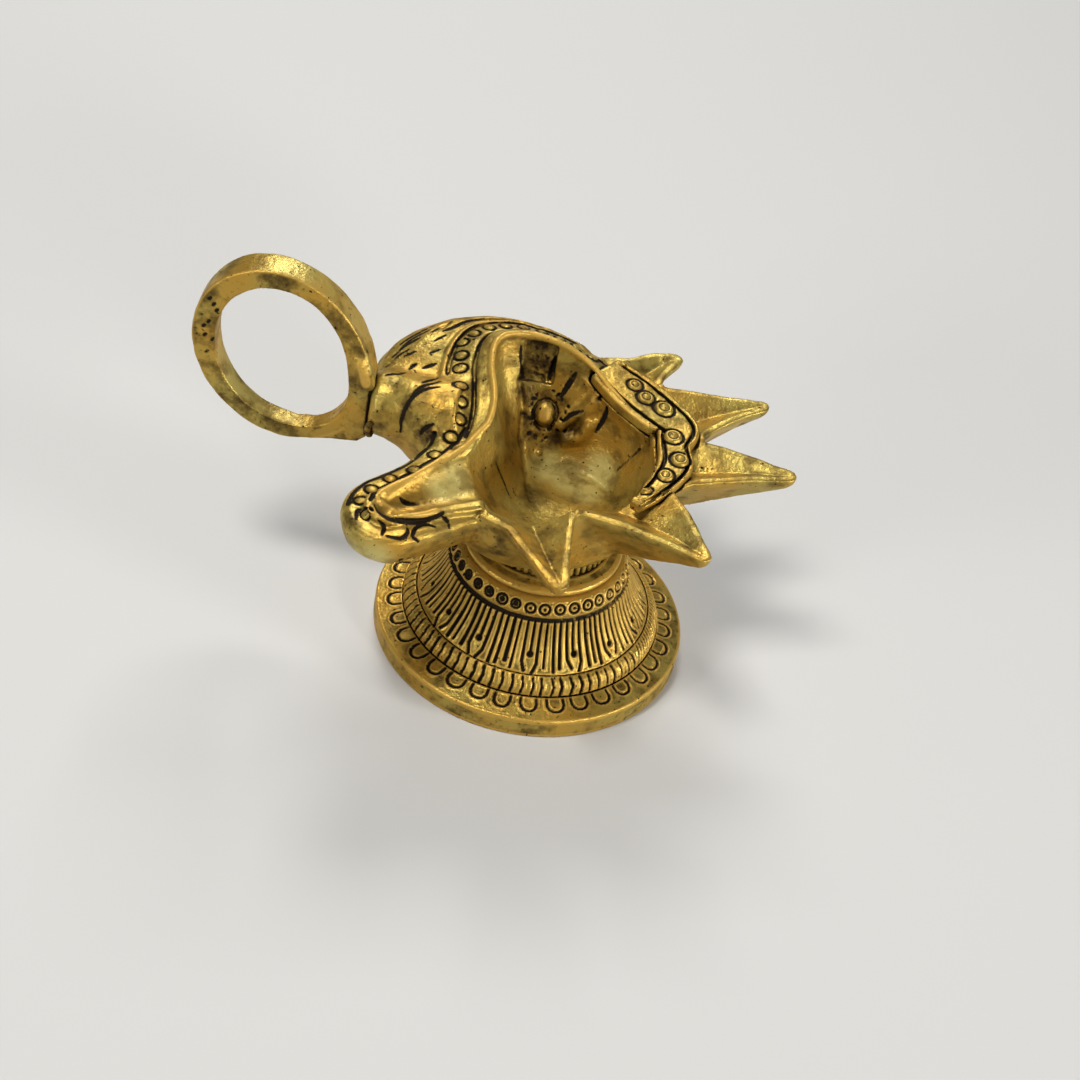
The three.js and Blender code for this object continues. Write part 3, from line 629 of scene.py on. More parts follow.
def tongue_hollow(x, y, z):
    """Dished channel of the tongue, deeper towards the bowl."""
    root = mix(np.array(CANAL_ROOT), np.array(CANAL_END), 0.05)
    share, gap = along_bar(x, y, root, CANAL_END)
    radius = mix(*TONGUE_RADIUS, share)
    depth = mix(*TONGUE_DEPTH, share)
    dish = TONGUE_TOP_Z - depth * (1 - np.minimum(gap / radius, 1.3) ** 2)
    return (dish - z) * 0.8


def spire(x, y, z):
    """Barrel of the spire, round about an axis that runs across the lamp."""
    r = np.hypot((y - SPIRE_AXIS[0]) / SPIRE_FLATTEN, z - SPIRE_AXIS[1])
    return outline_distance(x, r, SPIRE_SECTION)


# %% [markdown]
# ## The strap's seat
# A strap with pellets lies over the roots of the back spouts. It is a bar that follows a bent line, wide
# at the back and narrow at its tail. Its line is set here, because the bowl's wax is cut away under it,
# and the strap itself is made further on.

# %% The strap's line
STRAP = np.array([
    [5.2, 23.4, 52.0, 4.2], [11.6, 18.9, 51.0, 5.6], [17.0, 15.2, 50.2, 5.6], [21.4, 11.6, 49.6, 4.6],
    [21.4, 6.6, 49.2, 3.2], [22.2, 1.2, 48.7, 3.4], [19.8, -5.0, 48.0, 2.3], [15.6, -11.2, 47.2, 1.2],
])
STRAP_LIFT = 0.3
STRAP_THICKNESS = 2.4
STRAP_CLEARANCE = 0.3
SEAT_HEADROOM = 12.0


def smooth_line(points, per_span=10):
    """Evenly parted points on a smooth line through the given ones."""
    p = np.asarray(points, float)
    ends = np.vstack([2 * p[0] - p[1], p, 2 * p[-1] - p[-2]])
    out = []
    for k in range(len(p) - 1):
        a, b, c, d = ends[k:k + 4]
        for t in np.linspace(0, 1, per_span, endpoint=False):
            out.append(0.5 * (2 * b + (c - a) * t + (2 * a - 5 * b + 4 * c - d) * t**2
                              + (3 * b - a - 3 * c + d) * t**3))
    return np.array([*out, p[-1]])


strap_line = smooth_line(STRAP)
strap_run = np.concatenate([[0], np.cumsum(np.hypot(*np.diff(strap_line[:, :2], axis=0).T))])


def beside_strap(x, y):
    """For each place in the plan: how far aside of the strap it is, the strap's top and half width there,
    and how far past the strap's ends it is, below zero between them."""
    best = np.full(np.broadcast_shapes(x.shape, y.shape), 1e9)
    side, top, half, travel = (np.zeros_like(best) for _ in range(4))
    last = len(strap_line) - 2
    for k, (a, b) in enumerate(zip(strap_line[:-1], strap_line[1:])):
        dx, dy = b[0] - a[0], b[1] - a[1]
        span = math.hypot(dx, dy)
        raw = ((x - a[0]) * dx + (y - a[1]) * dy) / span ** 2
        t = np.clip(raw, 0, 1)
        gap = np.hypot(x - a[0] - t * dx, y - a[1] - t * dy)
        nearer = gap < best
        best = np.where(nearer, gap, best)
        side = np.where(nearer, ((x - a[0]) * dy - (y - a[1]) * dx) / span, side)
        top = np.where(nearer, mix(a[2], b[2], t) + STRAP_LIFT, top)
        half = np.where(nearer, mix(a[3], b[3], t), half)
        run = strap_run[k] + span * np.clip(raw, -99 if k == 0 else 0, 99 if k == last else 1)
        travel = np.where(nearer, run, travel)
    return side, top, half, np.maximum(-travel, travel - strap_run[-1])


def strap_bar(clearance, headroom=0.0):
    """The strap's bar, or with a clearance and a headroom the seat that it is laid into."""
    def shape(x, y, z):
        side, top, half, past = beside_strap(x, y)
        plan = softly_most(np.abs(side) - half - clearance, past - clearance, 0.5)
        slab = np.maximum(z - top - headroom, top - STRAP_THICKNESS - clearance - z)
        return softly_most(plan, slab, 0.5)
    return shape


def strap_bed(x, y, z):
    """Metal under the strap, which narrows downwards into the bowl's wall."""
    side, top, half, past = beside_strap(x, y)
    depth = top - STRAP_THICKNESS - z
    return softly_most(softly_most(np.abs(side) - half, past, 0.5) + 0.6 * depth, -depth, 0.3)


print("strap runs", round(float(strap_run[-1]), 1), "mm")

# %% Press the bowl together
bowl_wax = Wax((-41.4, -40.2, 26.9), (48.6, 39.6, 59.7), WAX_STEP)
bowl_wax.work(whorl)
bowl_wax.work(canal, 1.6, low=(-41, -37, 34), high=(0, 2, 49))
bowl_wax.work(spire, 5.0, low=(-41, -8, 33), high=(-16, 18, 58))
for spout in SPOUTS:
    bowl_wax.work(spout_hull(spout), 1.4, low=(-20, -41, 27), high=(49, 40, 51))
bowl_wax.work(shelf, 1.2, low=(-41, -31, 36), high=(-12, 9, 50))
bowl_wax.work(tongue_rim, 0.5, low=(-41, -37, 38), high=(-8, 0, 49))
print("wax block of", bowl_wax.field.shape, "points")

# %% Carve the hollow, the troughs and the tongue
bowl_wax.work(hollow, 0.5, carve=True)
bowl_wax.work(strap_bed, 2.0, low=(-3, -16, 38), high=(34, 34, 52))
bowl_wax.work(tongue_hollow, 0.5, low=(-36, -32, 40), high=(-10, -5, 60), carve=True)
for spout in SPOUTS:
    bowl_wax.work(spout_trough(spout), 0.15, low=(-20, -41, 36), high=(49, 40, 60), carve=True)
bowl_wax.work(
    strap_bar(STRAP_CLEARANCE, SEAT_HEADROOM), 0.2, low=(-3, -16, 40), high=(34, 34, 60), carve=True,
)
print("carved")


# %% [markdown]
# ## Chasing
# After casting, the lines of the shell are cut with a chasing tool, and each bead of the band sits in a
# small pocket. An image texture could show the lines, but here they are real grooves: the camera's line
# of sight finds where a stroke of the photograph lies on the wax, and a thin bar is carved out along it.
# The strokes are kept in lists, so that the metal can later be blackened along them.

# %% Chasing tools
CHASE_MARGIN = 1.2


def on_wax(wax, spots):
    """Places on a wax where the camera sees the given spots of the photograph."""
    return np.array([wax.seen(*spot) for spot in spots])


def line_gap(x, y, z, line, halves=None):
    """Distance of places from a line of straight spans in space, or from a bar of changing half width."""
    least = np.float32(1e9)
    halves = np.zeros(len(line)) if halves is None else halves
    for a, b, ha, hb in zip(line[:-1], line[1:], halves[:-1], halves[1:]):
        d = b - a
        t = ((x - a[0]) * d[0] + (y - a[1]) * d[1] + (z - a[2]) * d[2]) / max(float(d @ d), 1e-9)
        t = np.clip(t, 0, 1)
        gap = (x - a[0] - t * d[0]) ** 2 + (y - a[1] - t * d[1]) ** 2 + (z - a[2] - t * d[2]) ** 2
        least = np.minimum(least, np.sqrt(gap) - mix(ha, hb, t))
    return least


def tapered(count, half):
    """Half widths of a stroke that is thin at both ends."""
    swell = np.sin(np.pi * np.linspace(0.04, 0.96, count)) ** 0.6
    return half * swell


def chase(wax, line, half, soot=1.0, carve=True, fillet=0.12, taper=False):
    """Cuts a groove along a line on a wax, or lays a ridge, and remembers how black it gets."""
    line = np.asarray(line, float)
    halves = tapered(len(line), half) if taper else np.full(len(line), half)
    low, high = line.min(0) - half - CHASE_MARGIN, line.max(0) + half + CHASE_MARGIN
    wax.work(lambda x, y, z: line_gap(x, y, z, line, halves), fillet, low, high, carve=carve)
    if soot > 0:
        wax.black.append((line, halves, soot))


def dot(place):
    """A line too short to see, for a mark that is round."""
    return np.array([place, place + DOT])


def chase_spots(wax, spots, half, soot=1.0, **how):
    """Cuts a smooth groove through spots of the photograph."""
    chase(wax, smooth_line(on_wax(wax, spots), 5), half, soot, taper=True, **how)


# %% Chased lines of the shell
LEAF_LINES = [
    [(385.5, 375), (400.8, 373), (412.6, 366), (416.6, 363.7)],
    [(400.8, 432), (402, 418), (407.9, 403.8), (417.3, 393.2), (429, 388.5), (439.7, 386.8)],
    [(412.6, 394.4), (423.2, 386), (440.9, 381.4)],
    [(422, 382.6), (437.4, 377.9)],
    [(423, 368), (436, 363.7)],
    [(420.8, 434.5), (424.4, 428.6), (433.8, 423.9)],
    [(431, 332), (452, 321)],
    [(443, 331), (462, 323.6)],
    [(400, 345), (417, 333), (436, 324)],
    [(392, 357), (404, 346), (420, 338)],
]
FINE_LINES = [
    [(398, 351), (412, 339), (430, 329.5)], [(386, 367), (397, 356), (409, 349.5)], [(433, 342), (446, 335)],
    [(452, 327), (468, 321), (484, 318.5)], [(403, 357), (416, 351)], [(430, 353), (440, 349.5)],
]
for spots in LEAF_LINES:
    chase_spots(bowl_wax, spots, 0.3)
for spots in FINE_LINES:
    chase_spots(bowl_wax, spots, 0.16)
print("chased", len(LEAF_LINES) + len(FINE_LINES), "lines of the shell")

# %% Marks of the canal
TONGUE_GAP = [
    (374.8, 505.3), (380.7, 512.4), (391.3, 518.3), (407.9, 521.8), (424.4, 520.6), (436.2, 517),
    (443.3, 512.4),
]
CANAL_ARCS = [
    [(406.7, 523), (407.4, 532.4), (400.8, 538.3), (386.6, 536)],
    [(435, 526.5), (426.7, 524.2), (416, 527.7), (413, 536), (418.5, 541.9)],
    [(351, 503), (360.7, 497), (374.8, 498.2)],
    [(356, 519.4), (358.3, 510), (367.8, 507.6)],
    [(440, 514), (446, 520), (449, 528)],
    [(378, 520), (384, 527), (382, 535)],
]
TONGUE_HOOK = [(400, 498), (406, 503), (419, 503.5)]
SCRIBED_LINES = [[(475, 494), (484, 505), (492, 515)], [(496, 462), (504, 482), (511, 498)]]
PUNCHED_DOTS = [(401, 560), (408, 559.5)]
chase_spots(bowl_wax, TONGUE_GAP, 0.55)
for spots in CANAL_ARCS:
    chase_spots(bowl_wax, spots, 0.3)
chase_spots(bowl_wax, TONGUE_HOOK, 0.5, 0.7)
for spots in SCRIBED_LINES:
    chase_spots(bowl_wax, spots, 0.16, 0.6)
for spot in PUNCHED_DOTS:
    chase(bowl_wax, dot(bowl_wax.seen(*spot)), 0.4, 0.6)
print("chased the canal")

# %% Inside of the shell
RECESS = (539, 362)
RECESS_SIZE = (3.5, 4.4, 0.8)
RECESS_EDGE = [(521, 346), (521, 360), (521, 370), (524, 378)]
SLOTS = [[(557, 356), (554, 366), (548, 380)], [(576, 373), (569, 384), (561, 397)]]
BOSS = (545, 414)
BOSS_RADIUS = 2.05
BOSS_STRETCH = 0.6
BOSS_PITS = 34
BOSS_PIT_REACH = (2.5, 5.2)
BOSS_SINK = 0.95
RECESS_MARGIN = 5.5
RECESS_PITS = 26
NUB = (538.5, 452.6)
SCROLL_RIDGES = [[(561, 425), (571, 416), (585, 411), (594, 402)], [(566, 440), (580, 437), (590, 426)]]
SCROLL_PITS = [
    [(562, 422), (572, 414), (583, 411)], [(596, 432), (604, 418), (610, 402)], [(599, 400), (606, 392)],
]
CREASES = [
    [(617, 470), (638, 451), (660, 434)],
    [(520, 380), (523, 410), (522, 440), (526, 470), (531, 500)],
]
recess_place = bowl_wax.seen(*RECESS)
recess_out = bowl_wax.outward([recess_place], 2.0)[0]
recess_side = np.cross((0, 0, 1), recess_out)
recess_side /= np.linalg.norm(recess_side)


def recess(x, y, z):
    """A shallow rough-floored panel, sunk square to the wall."""
    up = np.cross(recess_out, recess_side)
    u, v, w = (
        np.abs((x - recess_place[0]) * d[0] + (y - recess_place[1]) * d[1] + (z - recess_place[2]) * d[2]) - s
        for d, s in zip((recess_side, up, recess_out), RECESS_SIZE)
    )
    return softly_most(softly_most(u, v, 0.6), w, 0.4)


bowl_wax.work(recess, 0.3, recess_place - RECESS_MARGIN, recess_place + RECESS_MARGIN, carve=True)
rough_floor = np.random.default_rng(21)
for _ in range(RECESS_PITS):
    shift = rough_floor.uniform(-0.85, 0.85, 2) * RECESS_SIZE[:2]
    pit = recess_place + shift[0] * recess_side + shift[1] * np.cross(recess_out, recess_side)
    pit = pit - RECESS_SIZE[2] * recess_out
    chase(bowl_wax, [pit, pit + rough_floor.uniform(-0.6, 0.6, 3)], rough_floor.uniform(0.15, 0.32), 0.35)
chase_spots(bowl_wax, RECESS_EDGE, 0.3)
chase_spots(bowl_wax, SLOTS[0], 0.62)
chase_spots(bowl_wax, SLOTS[1], 0.5)
for spots in SCROLL_RIDGES:
    chase(bowl_wax, smooth_line(on_wax(bowl_wax, spots), 4), 1.15, 0.0, carve=False, fillet=1.6)
for spots in SCROLL_PITS:
    chase_spots(bowl_wax, spots, 0.45, 0.8, fillet=0.5)
boss_place = bowl_wax.seen(*BOSS)
boss_out = bowl_wax.outward([boss_place])[0]
boss_side = np.cross(boss_out, (0, 0, 1))
boss_side /= np.linalg.norm(boss_side)
boss_up = np.cross(boss_side, boss_out)
groove_half = 0.35
reach = BOSS_RADIUS + groove_half
boss_ring = [
    boss_place + reach * math.cos(a) * boss_side + (reach + BOSS_STRETCH) * math.sin(a) * boss_up
    for a in np.linspace(0, 2 * math.pi, 21)
]
chase(bowl_wax, boss_ring, groove_half, 0.0)
for _ in range(BOSS_PITS):
    a, reach = rough_floor.uniform(0, 2 * math.pi), rough_floor.uniform(*BOSS_PIT_REACH)
    pit = boss_place + reach * math.cos(a) * boss_side + reach * 1.1 * math.sin(a) * boss_up
    pit = pit - bowl_wax.at([pit])[0] * bowl_wax.outward([pit])[0]
    drift = rough_floor.uniform(-0.5, 0.5, 3)
    chase(bowl_wax, [pit, pit + drift], rough_floor.uniform(0.12, 0.3), 0.7)
boss_heart = boss_place - BOSS_SINK * boss_out
chase(bowl_wax, [boss_heart - BOSS_STRETCH * boss_up, boss_heart + BOSS_STRETCH * boss_up], BOSS_RADIUS, 0.0,
      carve=False, fillet=0.3)
boss_top = bowl_wax.seen(*BOSS)
# Painted highlight on the boss's top
bowl_wax.bright.append((np.array([boss_top - 0.5 * boss_up, boss_top + 0.5 * boss_up]), 1.1, 0.9))
chase(bowl_wax, dot(bowl_wax.seen(*NUB)), 0.75, 0.0, carve=False, fillet=0.1)
chase_spots(bowl_wax, CREASES[0], 0.22, 0.6)
chase_spots(bowl_wax, CREASES[1], 0.4, 0.25, fillet=1.2)
print("boss at", np.round(boss_place, 1), "mm")

# %% Places of the beads
BEAD_SPOTS = [
    (474, 333), (462, 342), (461, 355), (460, 368), (461, 385), (462, 402), (460, 419), (451, 437),
    (435, 454), (414, 469), (390, 478), (372, 489), (361, 500), (365, 515),
]
BEAD_SHARE = 0.67
BEAD_PITCH = 3.7
BACK_BEADS_END = 36
POCKET = (1.75, 1.45, 0.5)
POCKET_MARGIN = 2.6
POCKET_RING = (1.52, 1.2, 0.3)
bead_places = list(on_wax(bowl_wax, BEAD_SPOTS))


def band_place(turn, share):
    """A place on the bead band, by its direction in degrees and its share of the band's width."""
    k = int(round(turn * 2)) % 720
    r, z = mix(crest_r[k], band_r[k], share), mix(crest_z[k], band_z[k], share)
    a = math.radians(turn)
    return np.array([BOWL_CENTRE[0] + r * math.cos(a), BOWL_CENTRE[1] + r * math.sin(a), z])


first = bead_places[0] - [*BOWL_CENTRE, 0]
bead_turn = math.degrees(math.atan2(first[1], first[0]))
while bead_turn > BACK_BEADS_END:
    here = band_place(bead_turn, BEAD_SHARE)
    bead_turn -= math.degrees(BEAD_PITCH / np.hypot(*(here[:2] - BOWL_CENTRE)))
    bead_places.insert(0, band_place(bead_turn, BEAD_SHARE))
bead_places = np.array(bead_places)
bead_outs = bowl_wax.outward(bead_places, 0.9)
bead_sides = np.cross(np.gradient(bead_places, axis=0), bead_outs)
bead_sides /= np.linalg.norm(bead_sides, axis=1, keepdims=True)


def pocket(place, out, side, size):
    """A shallow oval pocket for one bead."""
    third = np.cross(out, side)

    def shape(x, y, z):
        u, v, w = (
            ((x - place[0]) * d[0] + (y - place[1]) * d[1] + (z - place[2]) * d[2]) / s
            for d, s in zip((side, third, out), size)
        )
        return (np.sqrt(u * u + v * v + w * w) - 1) * size[2]
    return shape


for place, out, side in zip(bead_places, bead_outs, bead_sides):
    bowl_wax.work(pocket(place, out, side, POCKET), 0.05, place - POCKET_MARGIN, place + POCKET_MARGIN,
                  carve=True)
    third = np.cross(out, side)
    across, along, down = POCKET_RING
    ring = [
        place + across * math.cos(a) * side + along * math.sin(a) * third - down * out
        for a in np.linspace(0, 2 * math.pi, 13)
    ]
    bowl_wax.black.append((np.array(ring), 0.24, 1.0))
print(len(bead_places), "beads on the band")

# %% Lines round the band
turns = np.arange(60, 196, 2.0)
INNER_GROOVE_SHARE, OUTER_GROOVE_SHARE, EDGE_SHARE = 0.40, 0.905, 0.97
for share, half in ((INNER_GROOVE_SHARE, 0.4), (OUTER_GROOVE_SHARE, 0.35)):
    bowl_wax.black.append((np.array([band_place(t, share) for t in turns]), half, 1.0))
crest_line = np.array([
    *[band_place(t, 0.03) + (0, 0, 0.1) for t in np.arange(44, 190, 3.0)],
    *[(x, y, z - 0.1) for x, y, z in smooth_line(SHELF_CREST[2:7], 4)],
])
chase(bowl_wax, crest_line, 0.55, 0.0, carve=False, fillet=0.6)
# Painted highlight along the crest, and along the band's outer edge
bowl_wax.bright.append((crest_line, 0.5, 1.0))
bowl_wax.bright.append((np.array([band_place(t, EDGE_SHARE) for t in turns]), 0.3, 0.9))
print("crest line of", len(crest_line), "points")

# %% Lines along the shelf
# The two grooves go on along the shelf, so far aside of its crest and of its edge
SHELF_GROOVES = ((2.1, SHELF_CREST), (-0.9, SHELF_EDGE))
SHELF_FRONT_Y = 1.0
DROP_COUNT = 25
drop = np.linspace(1.5, -1.5, DROP_COUNT)
for aside, line in SHELF_GROOVES:
    path = smooth_line(line, 4)
    forward = np.gradient(path[:, :2], axis=0)
    forward /= np.linalg.norm(forward, axis=1, keepdims=True)
    path[:, 0] += aside * forward[:, 1]
    path[:, 1] -= aside * forward[:, 0]
    laid = []
    for x, y, z in path[path[:, 1] < SHELF_FRONT_Y]:
        column = np.stack([np.full(DROP_COUNT, x), np.full(DROP_COUNT, y), z + drop], 1)
        laid.append(column[int(np.argmax(bowl_wax.at(column) < 0))])
    chase(bowl_wax, smooth_line(laid, 1), 0.34)
print("grooves along the shelf:", len(SHELF_GROOVES))

# %% Lips of the tongue
TONGUE_LIP = [(378, 499), (384, 506), (394, 511.5), (408, 514.5), (424, 513.5), (436, 510)]
TONGUE_FAR_LIP = [(450, 452), (430, 466), (410, 477), (393, 485), (381, 492)]
for spots in (TONGUE_LIP, TONGUE_FAR_LIP):
    lip = smooth_line(on_wax(bowl_wax, spots), 4)
    chase(bowl_wax, lip, 0.45, 0.0, carve=False, fillet=0.6)
    # Painted highlight along each lip
    bowl_wax.bright.append((lip, 0.5, 1.0))
print("two rubbed lips on the tongue")

# %% Grimy spots with painted shade, and patches of painted sheen
# Spots of the photograph, each with the rough size of its patch
# Dark spots: partly grime, partly painted shade in junctions, under overhangs and on the whorl's darker left
# side
GRIME_AND_SHADE_SPOTS = [
    (528, 393, 3.2), (532, 425, 3.6), (545, 442, 3.2), (560, 405, 2.6), (540, 362, 5.0), (602, 412, 3.6),
    (592, 385, 2.6), (577, 428, 2.6), (566, 372, 2.8), (618, 440, 2.4), (520, 440, 2.2), (478, 535, 3.6),
    (495, 552, 2.6), (380, 427, 2.4), (352, 520, 1.6), (420, 436, 2.4), (408, 400, 2.0), (476, 345, 1.6),
    (650, 440, 2.0), (375, 508, 1.8), (410, 515, 1.8), (452, 448, 1.4), (640, 528, 2.4), (395, 385, 2.4),
    (425, 345, 2.6), (392, 362, 2.2), (440, 402, 2.2), (430, 432, 2.4), (412, 420, 2.0), (520, 330, 2.0),
    (500, 545, 2.2), (545, 560, 2.0),
]
BOSS_GRIME = [
    (531, 398), (528, 418), (534, 436), (556, 438), (562, 402), (546, 394), (540, 346), (600, 408),
    (572, 430),
]
# Patches of painted sheen, on the bowl's floor and on the canal
SHEEN_SPOTS = [
    (570, 480, 7.0), (600, 472, 6.0), (548, 470, 4.5), (585, 492, 5.0), (455, 480, 3.2), (440, 490, 2.6),
    (352, 548, 3.0), (375, 556, 3.0),
]
for across, down, size in GRIME_AND_SHADE_SPOTS:
    bowl_wax.grime.append((dot(bowl_wax.seen(across, down)), 0.3 * size, 1.0))
for across, down in BOSS_GRIME:
    bowl_wax.grime.append((dot(bowl_wax.seen(across, down)), 0.6, 1.35))
for across, down, size in SHEEN_SPOTS:
    bowl_wax.pale.append((dot(bowl_wax.seen(across, down)), 0.4 * size, 1.0))
bowl_wax.dent(2.6, 0.05, seed=3)
bowl_wax.dent(6.0, 0.06, seed=4)
print(len(bowl_wax.black), "blackened lines and", len(bowl_wax.grime), "grimy places")


# %% Skin the wax
MAIN_TRIANGLES = 195_000
SMALL_TRIANGLES = 60_000
# How far out the shelter is felt, and how much each distance counts
SHELTER_REACHES = ((0.5, 0.35), (1.1, 0.3), (2.4, 0.2), (5.0, 0.15))
EDGE_DEPTH = 0.7
# How far past its lines each mark reaches: soot, painted highlight, grime with painted shade, painted sheen
LINE_REACHES = {"soot": 0.2, "shine": 0.4, "grime": 2.6, "pale": 3.2}


def mesh_piece(name, points, faces, smooth=True):
    """A mesh object from points in millimetres from the foot's axis."""
    mesh = bpy.data.meshes.new(name)
    mesh.from_pydata(in_frame(points).tolist(), [], [list(map(int, f)) for f in faces])
    mesh.polygons.foreach_set("use_smooth", np.full(len(mesh.polygons), smooth))
    mesh.update()
    piece = bpy.data.objects.new(name, mesh)
    bpy.context.scene.collection.objects.link(piece)
    return piece


def thin_out(piece, triangles):
    """Fewer triangles, kept where the surface bends."""
    mesh = piece.data
    count = sum(len(p.vertices) - 2 for p in mesh.polygons)
    if count > triangles:
        modifier = piece.modifiers.new("thin out", "DECIMATE")
        modifier.ratio = triangles / count
        evaluated = piece.evaluated_get(bpy.context.evaluated_depsgraph_get())
        lighter = bpy.data.meshes.new_from_object(evaluated)
        piece.modifiers.clear()
        piece.data = lighter
        lighter.name = piece.name
        bpy.data.meshes.remove(mesh)
    return piece


def shelter(piece, wax):
    """Marks each point with how sheltered it is, above zero in hollows, and how much of an edge it is, which
    turns bright as wear and as painted highlight; and how near it is to the marked lines.
    """
    count = len(piece.data.vertices)
    points = np.zeros(count * 3, np.float32)
    piece.data.vertices.foreach_get("co", points)
    points = (points.reshape(-1, 3) - FOOT_AXIS) / MM
    away = wax.outward(points)
    hidden = np.zeros(count)
    for reach, weight in SHELTER_REACHES:
        open_share = wax.at(points + reach * away) / reach
        hidden += weight * np.clip(1 - open_share, 0, 1.5)
    inner = -wax.at(points - EDGE_DEPTH * away) / EDGE_DEPTH
    edge = np.clip(1 - inner, 0, 1) * np.clip(1.4 - 2 * hidden, 0, 1)
    mark(piece, "hollow", hidden)
    mark(piece, "edge", edge)
    # Soot, painted highlight, grimy spots with painted shade, and painted sheen, near their lines
    marked = {"soot": wax.black, "shine": wax.bright, "grime": wax.grime, "pale": wax.pale}
    for name, lines in marked.items():
        mark(piece, name, near_lines(points, lines, LINE_REACHES[name]))


def mark(piece, name, values):
    """Keeps one value for each point of a piece, for its metal to read."""
    layer = piece.data.attributes.new(name, "FLOAT", "POINT")
    layer.data.foreach_set("value", np.asarray(values, np.float32).ravel())


def near_lines(points, lines, reach):
    """How near points are to marked lines: 1 on a line, and 0 a reach past its half width."""
    best = np.zeros(len(points))
    for line, half, strength in lines:
        halves = np.broadcast_to(half, len(line))
        low, high = line.min(0) - halves.max() - reach, line.max(0) + halves.max() + reach
        close = np.flatnonzero(np.all((points > low) & (points < high), axis=1))
        past = line_gap(*points[close].T, line, halves)
        best[close] = np.maximum(best[close], strength * np.clip(1 - past / reach, 0, 1))
    return best


bowl = mesh_piece("bowl_casting", *bowl_wax.skin())
thin_out(bowl, MAIN_TRIANGLES)
shelter(bowl, bowl_wax)
print("bowl has", len(bowl.data.polygons), "faces")

# %% [markdown]
# ## Aged brass
# Old brass is bright where hands rub it and nearly black where polish and soot collect. One material
# does both: the metal's colour wanders between warm and green gold, the sheltered places turn dark and
# dull, and the edges turn bright, partly as wear and partly as painted highlight. Marked lines get a
# painted highlight and marked patches a painted sheen, both with less metal so that they stay bright, and
# marked spots get painted shade along with their grime. Fine pits and scratches are bump.

# %% Brass
def put(tree, kind, inputs=None, **settings):
    """Adds a node, with its settings, and with its inputs set or linked by name."""
    node = tree.nodes.new(kind)
    for key, value in settings.items():
        setattr(node, key, value)
    for key, value in (inputs or {}).items():
        socket = node.inputs[key]
        if isinstance(value, bpy.types.NodeSocket):
            tree.links.new(value, socket)
        else:
            socket.default_value = value
    return node


def blend(tree, share, a, b):
    """Mixes two colours or node outputs."""
    node = put(tree, "ShaderNodeMix", data_type="RGBA")
    for socket, value in ((node.inputs[0], share), (node.inputs[6], a), (node.inputs[7], b)):
        if isinstance(value, bpy.types.NodeSocket):
            tree.links.new(value, socket)
        else:
            socket.default_value = value
    return node.outputs[2]


def stretch(tree, value, low, high, to_low=0.0, to_high=1.0):
    """Maps a value from one span to another, and holds it there."""
    node = put(tree, "ShaderNodeMapRange", {
        "Value": value, "From Min": low, "From Max": high, "To Min": to_low, "To Max": to_high,
    })
    return node.outputs["Result"]


def reckon(tree, operation, a, b=0.0):
    """One sum of two values."""
    return put(tree, "ShaderNodeMath", {0: a, 1: b}, operation=operation).outputs[0]


WARM_GOLD = (0.84, 0.48, 0.07, 1)
GREEN_GOLD = (0.72, 0.54, 0.12, 1)
# Pale gold of the painted sheen
SHEEN_GOLD = (0.95, 0.84, 0.29, 1)
OLIVE = (0.27, 0.17, 0.03, 1)
# Bright gold of the edges' wear and of the painted highlights
BRIGHT_GOLD = (1.0, 0.60, 0.11, 1)
GLANCING = (1.0, 0.86, 0.55, 1)
FILM = (0.085, 0.042, 0.009, 1)
SOOT = (0.012, 0.008, 0.005, 1)


# How fine each cloud of the metal is, for places in metres
BROAD, CLOUDY, FINE, GRAIN = 70, 260, 1100, 3600
SCRATCHES = (700, 5200, 2600)
FILM_REACH = 0.0025
BUMP_STRENGTH, BUMP_HEIGHT = 0.9, 0.0003


def noise(tree, place, scale, detail=3):
    """Cloudy values around one half, at a scale for places in metres."""
    return put(tree, "ShaderNodeTexNoise", {"Vector": place, "Scale": scale, "Detail": detail}).outputs[0]


